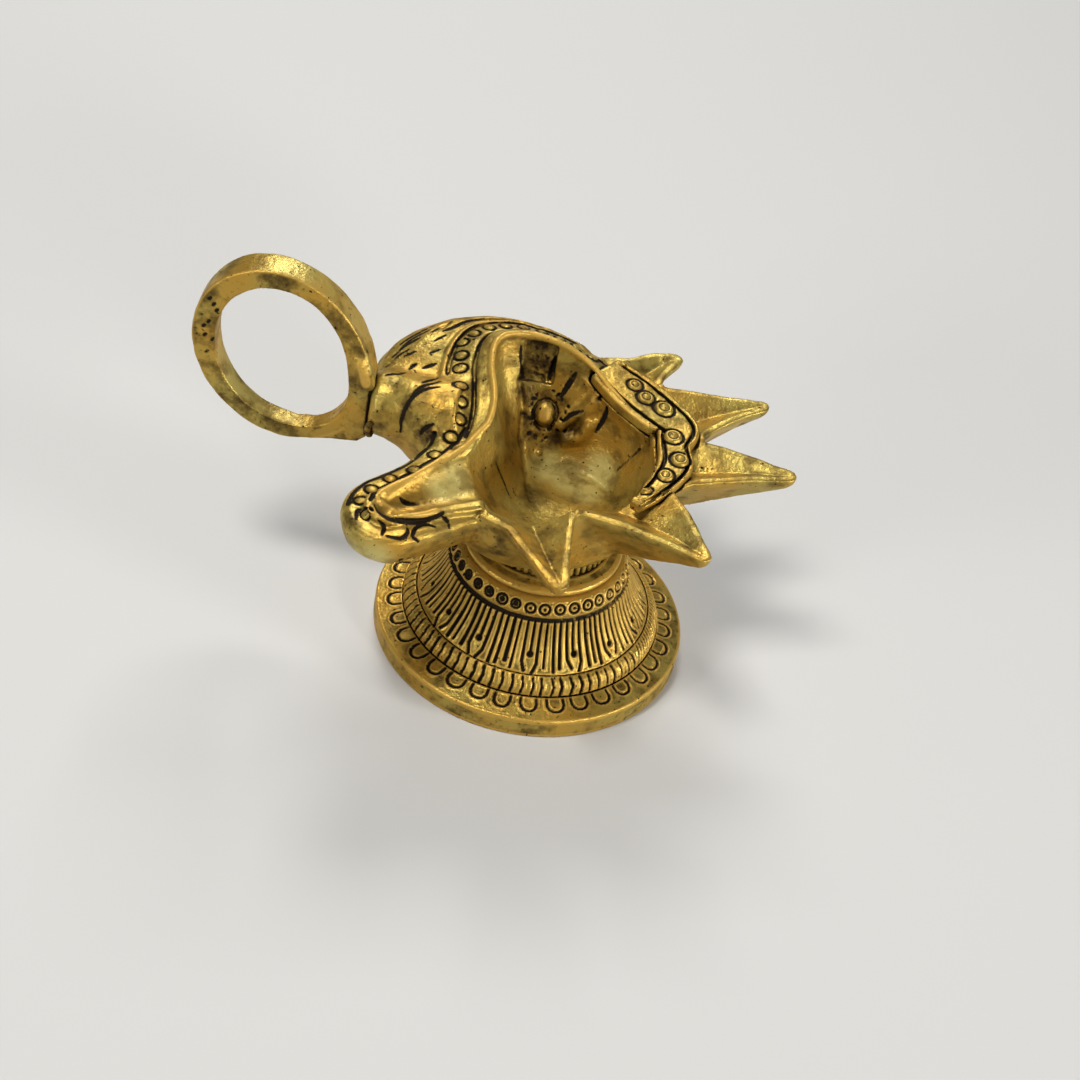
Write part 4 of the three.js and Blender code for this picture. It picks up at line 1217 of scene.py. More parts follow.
def aged_brass(name, film_from=0.20, film_to=0.80, roughness=0.165):
    """Brass with a brown film in sheltered places, soot in its cut lines, edges bright from wear and from
    painted highlight, painted highlights and painted sheen where marked, and painted shade on the grimy
    spots.
    """
    material = bpy.data.materials.new(name)
    material.use_nodes = True
    tree = material.node_tree
    shader = tree.nodes["Principled BSDF"]
    place = put(tree, "ShaderNodeTexCoord").outputs["Object"]
    broad = noise(tree, place, BROAD)
    cloudy = noise(tree, place, CLOUDY, 4)
    fine = noise(tree, place, FINE, 4)
    grain = noise(tree, place, GRAIN, 2)
    stretched = put(tree, "ShaderNodeMapping", {"Vector": place, "Scale": SCRATCHES})
    scratch = noise(tree, stretched.outputs[0], 1.0, 2)
    # Marks of each point: shelter, edges (wear and painted highlight), lines of painted highlight, soot,
    # grime with painted shade, and painted sheen
    hidden, worn_and_highlit, shine, cut, dirt_and_shade, pale = (
        put(tree, "ShaderNodeAttribute", attribute_name=label).outputs["Fac"]
        for label in ("hollow", "edge", "shine", "soot", "grime", "pale")
    )
    near = put(tree, "ShaderNodeAmbientOcclusion", {"Distance": FILM_REACH}, samples=6).outputs["AO"]
    shut = reckon(tree, "SUBTRACT", 1.0, near)
    shade = reckon(tree, "ADD", reckon(tree, "MULTIPLY", shut, 0.75), reckon(tree, "MULTIPLY", hidden, 0.5))
    # The grimy spots darken as grime and as painted shade; the painted sheen lightens
    shade = reckon(tree, "ADD", shade, reckon(tree, "MULTIPLY", reckon(tree, "SUBTRACT", dirt_and_shade, pale), 0.5))
    ragged = reckon(tree, "ADD", shade, reckon(tree, "MULTIPLY", reckon(tree, "SUBTRACT", cloudy, 0.5), 1.05))
    ragged = reckon(tree, "ADD", ragged, reckon(tree, "MULTIPLY", reckon(tree, "SUBTRACT", fine, 0.5), 0.9))
    ragged = reckon(tree, "ADD", ragged, reckon(tree, "MULTIPLY", reckon(tree, "SUBTRACT", broad, 0.52), 1.1))
    film = stretch(tree, ragged, film_from, film_to)
    uneven = stretch(tree, fine, 0.30, 0.50, 0.55, 1.0)
    pits = stretch(tree, fine, 0.66, 0.71, 0.0, 0.6)
    deep = reckon(tree, "MAXIMUM", pits, stretch(tree, ragged, 0.75, 1.25))
    soot = put(tree, "ShaderNodeMath", {
        0: reckon(tree, "ADD", reckon(tree, "MULTIPLY", cut, uneven), deep),
    }, operation="ADD", use_clamp=True).outputs[0]
    gold = blend(tree, stretch(tree, broad, 0.38, 0.62), WARM_GOLD, GREEN_GOLD)
    # Painted sheen: pale gold where marked
    gold = blend(tree, reckon(tree, "MULTIPLY", pale, 0.75), gold, SHEEN_GOLD)
    mottled = blend(tree, stretch(tree, cloudy, 0.47, 0.64, 0.0, 0.75), gold, OLIVE)
    filmed = blend(tree, film, mottled, FILM)
    # Edges and marked lines turn bright gold: wear and painted highlight
    bright = reckon(tree, "MAXIMUM", stretch(tree, worn_and_highlit, 0.42, 0.85, 0.0, 0.8), shine)
    rubbed_and_highlit = blend(tree, bright, filmed, BRIGHT_GOLD)
    colour = blend(tree, soot, rubbed_and_highlit, SOOT)
    tree.links.new(colour, shader.inputs["Base Color"])
    shader.inputs["Specular Tint"].default_value = GLANCING
    # Painted highlight and painted sheen get less metal, so that they stay bright whatever they reflect
    lit = reckon(tree, "MAXIMUM", reckon(tree, "MULTIPLY", shine, 0.3), reckon(tree, "MULTIPLY", pale, 0.5))
    metallic = reckon(tree, "SUBTRACT", stretch(tree, soot, 0, 1, 1.0, 0.2), lit)
    tree.links.new(metallic, shader.inputs["Metallic"])
    tree.links.new(stretch(tree, soot, 0, 1, 0.5, 0.08), shader.inputs["Specular IOR Level"])
    dull = reckon(tree, "MULTIPLY", reckon(tree, "MAXIMUM", soot, reckon(tree, "MULTIPLY", film, 0.5)), 0.4)
    rough = reckon(tree, "ADD", stretch(tree, cloudy, 0.35, 0.65, roughness - 0.05, roughness + 0.09), dull)
    tree.links.new(rough, shader.inputs["Roughness"])
    height = reckon(tree, "ADD", reckon(tree, "MULTIPLY", fine, 0.6), reckon(tree, "MULTIPLY", grain, 0.16))
    height = reckon(tree, "ADD", height, reckon(tree, "MULTIPLY", scratch, 0.12))
    height = reckon(tree, "ADD", height, reckon(tree, "MULTIPLY", cloudy, 0.3))
    bump = put(tree, "ShaderNodeBump", {"Height": height, "Strength": BUMP_STRENGTH, "Distance": BUMP_HEIGHT})
    tree.links.new(bump.outputs["Normal"], shader.inputs["Normal"])
    return material


cast_brass = aged_brass("cast_brass")
turned_brass = aged_brass("turned_brass", film_from=0.04, film_to=0.64, roughness=0.145)
hard_solder = aged_brass("hard_solder", film_from=-0.6, film_to=0.15, roughness=0.45)


def finish_piece(piece, material, slot, *nodes):
    """Gives a piece its metal and its body, and hides the solids that it stands for."""
    piece.data.materials.clear()
    piece.data.materials.append(material)
    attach(piece, "root")
    if nodes:
        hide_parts(*nodes)


finish_piece(bowl, cast_brass, "cast_brass", "conch_bowl")
metals = {"cast_brass": cast_brass, "turned_brass": turned_brass, "hard_solder": hard_solder}
for subpart in frame["record"]["subparts"]:
    node = frame["nodes"][subpart["node"]]
    node.data.materials.clear()
    node.data.materials.append(metals[subpart["material_slot"]])
print("brass on", len(frame["nodes"]), "solids")

# %% [markdown]
# ## Beads and pellets
# Each bead is a low dome in its pocket. One dome is modelled, and a Geometry Nodes tree sets it on every
# place of the band, turned square to the metal. The places are the points of a small mesh that carries
# the direction out of the metal, the direction across the band and the size as attributes. Copies made by
# hand would do the same, but a tree can be given new places at any time.

# %% Geometry Nodes tools
def new_tree(name, inputs):
    """A Geometry Nodes tree with named inputs, given as name, kind of socket and value."""
    tree = bpy.data.node_groups.new(name, "GeometryNodeTree")
    tree.interface.new_socket("Geometry", in_out="OUTPUT", socket_type="NodeSocketGeometry")
    for label, kind, value in inputs:
        socket = tree.interface.new_socket(label, in_out="INPUT", socket_type=kind)
        if value is not None:
            socket.default_value = value
    return tree, tree.nodes.new("NodeGroupInput").outputs, tree.nodes.new("NodeGroupOutput").inputs


def realize(tree, instances, material, end):
    """Ends a tree: instances become real, and get their metal."""
    real = put(tree, "GeometryNodeRealizeInstances", {"Geometry": instances})
    coated = put(tree, "GeometryNodeSetMaterial", {"Geometry": real.outputs[0], "Material": material})
    tree.links.new(coated.outputs[0], end[0])


def grow(name, base_mesh, tree, values):
    """Runs a tree on a mesh, and keeps what it grows as a plain mesh."""
    piece = bpy.data.objects.new(name, base_mesh)
    bpy.context.scene.collection.objects.link(piece)
    modifier = piece.modifiers.new("grow", "NODES")
    modifier.node_group = tree
    sockets = {s.name: s.identifier for s in tree.interface.items_tree if s.in_out == "INPUT"}
    for label, value in values.items():
        modifier[sockets[label]] = value
    evaluated = piece.evaluated_get(bpy.context.evaluated_depsgraph_get())
    grown = bpy.data.meshes.new_from_object(evaluated)
    piece.modifiers.clear()
    piece.data = grown
    grown.name = name
    bpy.data.meshes.remove(base_mesh)
    return piece


def button(name, profile, around=16):
    """A small round body in millimetres, from rows of radius, height, soot, and brightness of wear and
    painted highlight, pole to pole.
    """
    points, faces = [(0, 0, profile[0][1])], []
    for radius, height, _, _ in profile[1:-1]:
        points += [
            (radius * math.cos(2 * math.pi * k / around), radius * math.sin(2 * math.pi * k / around), height)
            for k in range(around)
        ]
    points.append((0, 0, profile[-1][1]))
    last = len(points) - 1
    for k in range(around):
        after = (k + 1) % around
        faces.append((0, 1 + k, 1 + after))
        for row in range(len(profile) - 3):
            top, under = 1 + row * around, 1 + (row + 1) * around
            faces.append((top + k, under + k, under + after, top + after))
        faces.append((last, last - around + after, last - around + k))
    mesh = bpy.data.meshes.new(name)
    mesh.from_pydata(points, [], faces)
    mesh.polygons.foreach_set("use_smooth", np.full(len(faces), True))
    spread = [0] + [row for row in range(1, len(profile) - 1) for _ in range(around)] + [len(profile) - 1]
    for column, label in ((2, "soot"), (3, "edge")):
        layer = mesh.attributes.new(label, "FLOAT", "POINT")
        layer.data.foreach_set("value", np.array([profile[row][column] for row in spread], np.float32))
    return bpy.data.objects.new(name, mesh)


# %% Tree that sets a shape on places
set_on, given, result = new_tree("set a shape on places", [
    ("Places", "NodeSocketGeometry", None),
    ("Shape", "NodeSocketObject", None),
    ("Metal", "NodeSocketMaterial", None),
])


def named(tree, label):
    """A vector that each place carries."""
    return put(tree, "GeometryNodeInputNamedAttribute", {"Name": label}, data_type="FLOAT_VECTOR").outputs[0]


upright = put(set_on, "FunctionNodeAlignRotationToVector", {"Vector": named(set_on, "out")}, axis="Z")
turned = put(set_on, "FunctionNodeAlignRotationToVector", {
    "Rotation": upright.outputs[0], "Vector": named(set_on, "side"),
}, axis="X", pivot_axis="Z")
shape = put(set_on, "GeometryNodeObjectInfo", {"Object": given["Shape"]})
stood = put(set_on, "GeometryNodeInstanceOnPoints", {
    "Points": given["Places"], "Instance": shape.outputs["Geometry"],
    "Rotation": turned.outputs[0], "Scale": named(set_on, "size"),
})
realize(set_on, stood.outputs[0], given["Metal"], result)


def places_mesh(places, outs, sides, sizes):
    """A mesh of loose points in the frame, each with its directions and its size."""
    mesh = bpy.data.meshes.new("places")
    mesh.from_pydata(in_frame(places).tolist(), [], [])
    for label, rows in (("out", outs), ("side", sides), ("size", np.asarray(sizes) * MM)):
        layer = mesh.attributes.new(label, "FLOAT_VECTOR", "POINT")
        layer.data.foreach_set("vector", np.asarray(rows, np.float32).ravel())
    return mesh


print("tree with", len(set_on.nodes), "nodes")

# %% Bead band
BEAD_PROFILE = [
    (0, 0.34, 0, 0.6), (0.45, 0.32, 0, 0.5), (0.8, 0.24, 0, 0.4), (1.02, 0.08, 0.1, 0.3),
    (1.12, -0.15, 0.9, 0), (1.14, -0.8, 1, 0), (0, -0.8, 1, 0),
]
BEAD_OVAL = (1.22, 0.92, 1.0)
BEAD_SINK = 0.12
bead_shape = button("bead", BEAD_PROFILE)
jitter = np.random.default_rng(11).uniform(0.92, 1.08, (len(bead_places), 3))
bead_seats = places_mesh(bead_places - BEAD_SINK * bead_outs, bead_outs, bead_sides, jitter * BEAD_OVAL)
bead_band = grow("bead_band", bead_seats, set_on, {"Shape": bead_shape, "Metal": cast_brass})
finish_piece(bead_band, cast_brass, "cast_brass", "conch_bowl")
print("bead band has", len(bead_band.data.polygons), "faces")

# %% [markdown]
# ## The finger ring
# The ring is a flat oval band with crisp edges that grows into a lug where it meets the spire. It stands
# in one upright plane, so in wax it is two ovals seen from the front, one inside the other, given a
# thickness that is fuller above than below. The band's front gets painted shade and its outer face a
# painted highlight, so each point is also marked by the way it faces.

# %% Finger ring
RING_CENTRE = (-56.8, 54.5)
RING_HOLE = (16.0, 12.8)
RING_HOLE_TILT = math.radians(107)
RING_CORNER = 1.8
RING_CORNER_TURN = math.radians(-50)
RING_BAND = 4.2
RING_OUTER_TILT = math.radians(116)
RING_MIDDLE_Y = 4.6
RING_EDGE = 0.3
RING_STEP = 0.25
RING_HALF_LOW, RING_HALF_HIGH = 2.4, 3.3
RING_CLIMB_FROM, RING_CLIMB = 38, 26
RING_WAIST, RING_WAIST_X, RING_WAIST_WIDTH = 0.25, -50, 9
LUG_X = -38.6
LUG = [
    (LUG_X, 38.9), (LUG_X, 53.0), (-41.2, 58.6), (-44.6, 59.2), (-49.4, 36.6), (-43.6, 36.7), (-40.2, 37.2),
]


def ring_oval(margin, tilt, corner):
    """Oval in the ring's own plane, grown by a margin and drawn out at one corner."""
    outline = []
    for a in np.linspace(0, 2 * math.pi, 72, endpoint=False):
        long, short = (RING_HOLE[0] + margin) * math.cos(a), (RING_HOLE[1] + margin) * math.sin(a)
        out = np.array([
            long * math.cos(tilt) - short * math.sin(tilt),
            long * math.sin(tilt) + short * math.cos(tilt),
        ])
        reach = np.hypot(*out)
        near = max(0.0, (out[0] * math.cos(RING_CORNER_TURN) + out[1] * math.sin(RING_CORNER_TURN)) / reach)
        outline.append(tuple(RING_CENTRE + out * (1 + corner * near ** 6 / reach)))
    return outline


def ring_half(x, z):
    """Half the ring's thickness, which is fuller above than below."""
    climb = np.clip((z - RING_CLIMB_FROM) / RING_CLIMB, 0, 1)
    waist = np.cos(np.clip((x - RING_WAIST_X) / RING_WAIST_WIDTH, -1.5, 1.5))
    return mix(RING_HALF_LOW, RING_HALF_HIGH, climb) - RING_WAIST * waist


def finger_ring(x, y, z):
    """The band and its lug, with narrowly rounded edges."""
    outer = outline_distance(x, z, ring_oval(RING_BAND, RING_OUTER_TILT, 0))
    outer = softly_least(outer, outline_distance(x, z, LUG), 2.2)
    inner = outline_distance(x, z, ring_oval(0, RING_HOLE_TILT, RING_CORNER))
    band = softly_most(outer, -inner, 0.5)
    return softly_most(band, np.abs(y - RING_MIDDLE_Y) - ring_half(x, z), 2 * RING_EDGE)


ring_wax = Wax((-77.5, -0.6, 33.2), (-36.6, 9.4, 75.2), RING_STEP)
ring_wax.work(finger_ring)
print("ring block of", ring_wax.field.shape, "points")

# %% Marks of the ring
WEB_SPOTS = [(361, 364), (364, 374), (366, 384)]
JOINT_LUMPS = [(362, 428), (358, 436)]
RING_PITS = [(209, 299), (213, 305), (203, 326), (208, 322), (206, 352), (212, 340), (216, 311), (204, 335)]
PIT_LENGTH = (0.3, 0, 0.4)
BRIGHT_EDGE_X, BRIGHT_EDGE_Z = -44, 60
chase(ring_wax, on_wax(ring_wax, WEB_SPOTS), 1.3, 0.0, carve=False, fillet=1.6)
# Painted highlight on the web
ring_wax.bright.append((on_wax(ring_wax, WEB_SPOTS), 0.8, 0.9))
# Painted highlight along the front's outer edge, on its left part and on its top part
ring_edge = np.array([
    (x, RING_MIDDLE_Y - ring_half(x, z), z) for x, z in ring_oval(RING_BAND, RING_OUTER_TILT, 0)
])
for a, b in zip(ring_edge, np.roll(ring_edge, -1, 0)):
    if a[0] < BRIGHT_EDGE_X or a[2] > BRIGHT_EDGE_Z:
        ring_wax.bright.append((np.array([a, b]), 0.12, 0.9))
joint_line = [(LUG_X - 0.1, RING_MIDDLE_Y - ring_half(LUG_X, z), z) for z in (40.0, 44.0, 48.0, 52.0)]
ring_wax.black.append((np.array(joint_line), 0.3, 1.0))
for spot in JOINT_LUMPS:
    ring_wax.grime.append((dot(ring_wax.seen(*spot)), 1.0, 1.0))
for spot in RING_PITS:
    pit = ring_wax.seen(*spot)
    chase(ring_wax, [pit, pit + PIT_LENGTH], 0.22, 0.8)
ring_wax.dent(2.2, 0.04, seed=5)
ring_wax.dent(7.0, 0.07, seed=6)
print(len(RING_PITS), "pits in the ring")

# %% Skin the ring
ring = mesh_piece("finger_ring", *ring_wax.skin())
thin_out(ring, SMALL_TRIANGLES)
shelter(ring, ring_wax)
facing = np.zeros(3 * len(ring.data.vertices), np.float32)
ring.data.vertices.foreach_get("normal", facing)
facing = facing.reshape(-1, 3)
# Painted shade on the faces that look to the front, and a painted highlight on the outer face that looks up
# and out
front_face = np.clip(-3 * facing[:, 1] - 1.6, 0, 1)
outer_face = np.clip(2.5 * (0.6 * facing[:, 0] + 0.8 * facing[:, 2]) - 1.2, 0, 1)
FRONT_SHADE, OUTER_HIGHLIGHT = 0.55, 0.3
for label, values in (("grime", FRONT_SHADE * front_face), ("pale", OUTER_HIGHLIGHT * outer_face)):
    layer = ring.data.attributes[label]
    kept = np.zeros(len(facing), np.float32)
    layer.data.foreach_get("value", kept)
    layer.data.foreach_set("value", np.maximum(kept, values).astype(np.float32))
finish_piece(ring, cast_brass, "cast_brass", "handle_ring")
print("ring has", len(ring.data.polygons), "faces")

# %% [markdown]
# ## The bead strap
# The strap is its own casting, laid into the seat. A dark slot runs along either side of it and leaves a
# lip outside that gets a painted highlight, and seven pellets with a groove each stand between the slots.

# %% Bead strap
STRAP_STEP = 0.25
SLOT_SHARES = (0.68, -0.72)
SLOT_HALVES = (0.42, 0.36)
SLOT_DEPTH = 1.2
SLOT_END_GAP = 1.5
strap_wax = Wax((-1.0, -15.0, 42.0), (31.0, 31.0, 55.0), STRAP_STEP)
strap_wax.work(strap_bar(0.0))


def band_spot(k, share, lift):
    """A place on the strap, a share of its half width aside of a point of its line and lifted off its top."""
    x, y, z, half = strap_line[k]
    run = strap_line[min(k + 1, len(strap_line) - 1)] - strap_line[max(k - 1, 0)]
    across = np.array([run[1], -run[0]]) / np.hypot(run[0], run[1])
    return np.array([x + share * half * across[0], y + share * half * across[1], z + STRAP_LIFT + lift])


def strap_slot(x, y, z):
    """The two slots, one beside each lip of the strap."""
    side, top, half, past = beside_strap(x, y)
    inner, outer = (np.abs(side - half * share) - wide for share, wide in zip(SLOT_SHARES, SLOT_HALVES))
    slots = softly_most(np.minimum(inner, outer), past + SLOT_END_GAP, 0.3)
    return softly_most(slots, top - SLOT_DEPTH - z, 0.3)


strap_wax.work(strap_slot, 0.2, carve=True)
for share in SLOT_SHARES:
    slot_line = np.array([band_spot(t, share, -0.6) for t in range(5, len(strap_line) - 8)])
    strap_wax.black.append((slot_line, 0.42, 1.0))
# Painted highlight along the outer lip
lip_line = np.array([band_spot(t, 0.94, -0.1) for t in range(2, len(strap_line) - 4)])
strap_wax.bright.append((lip_line, 0.3, 0.8))
print("strap block of", strap_wax.field.shape, "points")

# %% Pellets on the strap
PELLET_SPOTS = [(635, 385), (646, 398), (664, 409), (673, 437), (680, 460)]
PELLET_PLACES = [(20.6, -2.6), (17.4, -7.6)]
PELLET_SIZES = np.array([1.35, 1.6, 1.85, 1.75, 1.7, 1.45, 1.1])
PELLET_PROFILE = [
    (0, 0.52, 0, 0.7), (0.26, 0.5, 0, 0.6), (0.44, 0.4, 0, 0.3), (0.56, 0.27, 0.6, 0),
    (0.66, 0.36, 0, 0.3), (0.8, 0.36, 0, 0.7), (0.95, 0.22, 0, 0.5), (1.04, 0.04, 0.2, 0.2),
    (1.12, -0.15, 0.9, 0), (1.14, -0.8, 1, 0), (0, -0.8, 1, 0),
]
PELLET_RING = 1.22
PELLET_SINK = 0.1


def strap_top(x, y):
    """The place on the strap's top above a place in the plan."""
    heights = np.arange(54.5, 43.0, -0.1)
    column = np.stack([np.full(len(heights), x), np.full(len(heights), y), heights], 1)
    return column[int(np.argmax(strap_wax.at(column) < 0))]


pellet_places = np.array([*on_wax(strap_wax, PELLET_SPOTS), *[strap_top(*p) for p in PELLET_PLACES]])
pellet_outs = strap_wax.outward(pellet_places, 0.9)
for place, out, size in zip(pellet_places, pellet_outs, PELLET_SIZES):
    side = np.cross(out, (0.0, 1.0, 0.0))
    ring_line = [
        place + PELLET_RING * size * (math.cos(a) * side + math.sin(a) * np.cross(out, side))
        for a in np.linspace(0, 2 * math.pi, 15)
    ]
    chase(strap_wax, ring_line, 0.25)
strap_wax.dent(2.2, 0.05, seed=8)
strap = mesh_piece("bead_strap", *strap_wax.skin())
thin_out(strap, SMALL_TRIANGLES)
shelter(strap, strap_wax)
finish_piece(strap, cast_brass, "cast_brass", "lip_strap")
pellet_sides = np.cross(pellet_outs, (0.0, 1.0, 0.0))
pellet_shape = button("pellet", PELLET_PROFILE, 24)
pellet_seats = places_mesh(pellet_places - PELLET_SINK * pellet_outs, pellet_outs, pellet_sides,
                           np.repeat(PELLET_SIZES[:, None], 3, 1))
pellets = grow("pellets", pellet_seats, set_on, {"Shape": pellet_shape, "Metal": cast_brass})
finish_piece(pellets, cast_brass, "cast_brass", "lip_strap")
print("strap has", len(strap.data.polygons), "faces")

# %% [markdown]
# ## The foot
# The foot was turned on a lathe and then chased by hand. Turning is a section carried round an axis. The
# chased rays, petals, rope cuts and small rings are hollows in that same surface and no bodies of their
# own, so each mark is a line on the unrolled surface, and the surface sinks along it.

# %% Foot section
FOOT_RADIUS = 32.0
BELL_BASE = (23.8, 9.3)
BELL_TOP = (18.35, 19.0)
BELL_BOW = 0.7
BORE = 4.3


def bell_wall(share):
    """A place on the bell's slightly hollow wall, from its base to its top."""
    bow = BELL_BOW * math.sin(math.pi * share)
    return mix(BELL_BASE[0], BELL_TOP[0], share) - bow, mix(BELL_BASE[1], BELL_TOP[1], share)


FOOT_OUTSIDE = [
    (31.8, 0.0), (FOOT_RADIUS, 0.3), (FOOT_RADIUS, 3.7), (31.85, 4.1), (31.5, 4.42), (31.1, 4.55),
    (26.75, 5.65), (26.45, 5.45), (26.3, 5.7), (26.4, 6.4), (26.2, 7.3), (25.8, 8.1), (25.2, 8.8),
    (24.6, 9.2), (24.2, 9.25), (24.0, 8.95), *[bell_wall(k / 12) for k in range(13)],
    (18.15, 19.1), (17.7, 19.15), (17.65, 19.5), (18.05, 19.65), (18.2, 19.95), (18.1, 20.3), (17.15, 22.2),
    (16.8, 22.65), (16.2, 22.9),
]
FOOT_INSIDE = [
    (15.0, 22.9), (BORE, 22.9), (BORE, 19.7), (13.9, 19.7), (15.9, 16.0), (18.4, 12.0), (21.2, 7.2),
    (25.0, 4.6), (26.6, 2.8), (27.8, 0.9), (28.2, 0.0),
]


def finely(corners, spacing):
    """The same line with points no further apart than a spacing."""
    out = []
    for a, b in zip(corners[:-1], corners[1:]):
        pieces = max(1, int(math.ceil(math.dist(a, b) / spacing)))
        out += [tuple(mix(np.array(a), np.array(b), k / pieces)) for k in range(pieces)]
    return out


OUTSIDE_SPACING, INSIDE_SPACING = 0.27, 4.0
foot_section = np.array([
    *finely(FOOT_OUTSIDE, OUTSIDE_SPACING),
    *finely([FOOT_OUTSIDE[-1], *FOOT_INSIDE, FOOT_OUTSIDE[0]], INSIDE_SPACING),
])
foot_run = np.concatenate([[0], np.cumsum(np.hypot(*np.diff(foot_section, axis=0).T))])


def run_at(r, z):
    """How far along the foot's section a place on it lies."""
    return foot_run[np.argmin(np.hypot(foot_section[:, 0] - r, foot_section[:, 1] - z))]


print("foot section of", len(foot_section), "points")

# %% Rays
FRONT_RAYS = (-114, -85, -61, -38)
BACK_RAYS = 12
LINE_SPACING = 4.1
# Radius and height on the section, half width and depth
GROOVES = ((18.3, 19.05, 0.55, 0.35), (24.0, 9.0, 0.3, 0.2), (26.4, 5.55, 0.34, 0.2))
chasing = np.random.default_rng(7)
wall_base, wall_top = run_at(*BELL_BASE), run_at(*BELL_TOP)
foot_marks = []


def wander(spread):
    """A small random shift, as a hand makes."""
    return float(chasing.uniform(-spread, spread))


def foot_mark(line, half, deep):
    """Keeps one mark: a line of (degrees round the foot, run along its section), half width and depth."""
    foot_marks.append((np.array([(math.radians(a), v) for a, v in line]), half, deep))


def wall(share):
    """Run along the section for a share of the bell's wall."""
    return mix(wall_base, wall_top, share)


around_back = 360 - (FRONT_RAYS[-1] - FRONT_RAYS[0])
back_rays = [FRONT_RAYS[-1] + around_back * k / BACK_RAYS for k in range(1, BACK_RAYS + 1)]
ray_middles = [*FRONT_RAYS, *back_rays]
for middle, after in zip(ray_middles[:-1], ray_middles[1:]):
    drop_share = 0.34 + wander(0.04)
    foot_mark([(middle, wall(0.97)), (middle + wander(0.5), wall(drop_share))], 0.26, 0.55)
    foot_mark([(middle, wall(drop_share)), (middle + DOT, wall(drop_share))], 0.66, 0.75)
    lines = int(round((after - middle) / LINE_SPACING))
    for k in range(1, lines):
        at = mix(middle, after, k / lines) + wander(0.3)
        low = 0.09 + wander(0.06)
        if k in (1, lines - 1):
            bend = at - 2.0 if k == 1 else at + 2.0
            foot_mark([(at, wall(0.98)), (at + wander(0.3), wall(low + 0.12)), (bend, wall(low - 0.04))],
                      0.28, 0.45)
        else:
            foot_mark([(at, wall(0.98 + wander(0.02))), (at + wander(0.6), wall(low))],
                      0.28 + wander(0.08), 0.58)
for r, z, half, deep in GROOVES:
    foot_mark([(-180, run_at(r, z)), (179.9, run_at(r, z))], half, deep)
print(len(foot_marks), "marks of the rays and grooves")

# %% Petals, rope cuts and small rings
PETALS = 34
PETAL_START = -93.4
PETAL_HALF_TURN = 3.5
ROPE_NOTCHES = 80
ROPE_SLANTS = (-28, 120)
RING_MARKS = 37
RING_MARK_START = -89.6
RING_MARK_RADIUS = 0.98
# Outline of a petal: share of its half width, and share of its length
BOW = [
    (-1, 0), (-1, 0.45), (-0.82, 0.75), (-0.45, 0.95), (0, 1), (0.45, 0.95), (0.82, 0.75), (1, 0.45), (1, 0),
]
petal_tip, petal_root = run_at(29.6, 4.93), run_at(26.9, 5.6)
for k in range(PETALS):
    middle = PETAL_START + k * 360 / PETALS + wander(0.6)
    wide = PETAL_HALF_TURN * (1 + wander(0.1))
    tip = petal_tip + wander(0.2)
    foot_mark([(middle + u * wide, mix(petal_root, tip, v)) for u, v in BOW], 0.27, 0.42)
rope_low, rope_high = run_at(26.4, 6.1), run_at(24.5, 9.2)
for k in range(ROPE_NOTCHES):
    middle = -195 + k * 360 / ROPE_NOTCHES + wander(0.4)
    turned_past = (middle - ROPE_SLANTS[0]) % 360 < (ROPE_SLANTS[1] - ROPE_SLANTS[0])
    if turned_past:
        for half_way in (0, 0.5):
            at = middle + half_way * 360 / ROPE_NOTCHES
            foot_mark([(at - 1.6, rope_low), (at + 1.6, rope_high)], 0.2, 0.32)
    else:
        bend = 0.7 + wander(0.3)
        foot_mark([(middle, rope_low), (middle + bend, mix(rope_low, rope_high, 0.5)), (middle, rope_high)],
                  0.26 + wander(0.07), 0.52)
for k in range(RING_MARKS):
    middle = RING_MARK_START + k * 360 / RING_MARKS + wander(0.5)
    height = run_at(17.65, 21.25) + wander(0.12)
    size = RING_MARK_RADIUS * (1 + wander(0.1))
    circle = [
        (middle + math.degrees(size / 17.5) * math.cos(a), height + size * math.sin(a))
        for a in np.linspace(0, 2 * math.pi, 13)
    ]
    foot_mark(circle, 0.24, 0.4)
    # On the shaded side the small rings' middles are cut wider and sooted: painted shade
    shade_filled = math.cos(math.radians(middle + 150)) > 0.35 + wander(0.35)
    foot_mark([(middle, height), (middle + DOT, height)], 0.6 if shade_filled else 0.34, 0.35 if shade_filled else 0.15)
print(len(foot_marks), "marks on the foot")


# %% Sink the marks
# The soot of the marks is made thickest on this side of the foot as painted shade, and the burrs' painted
# highlight brightest on the other
SHADED_SIDE = math.radians(-160)
RIM_EDGE_PLACE = (31.7, 4.25)
MARK_MARGIN = 0.8
BURR_HEIGHT = 0.2


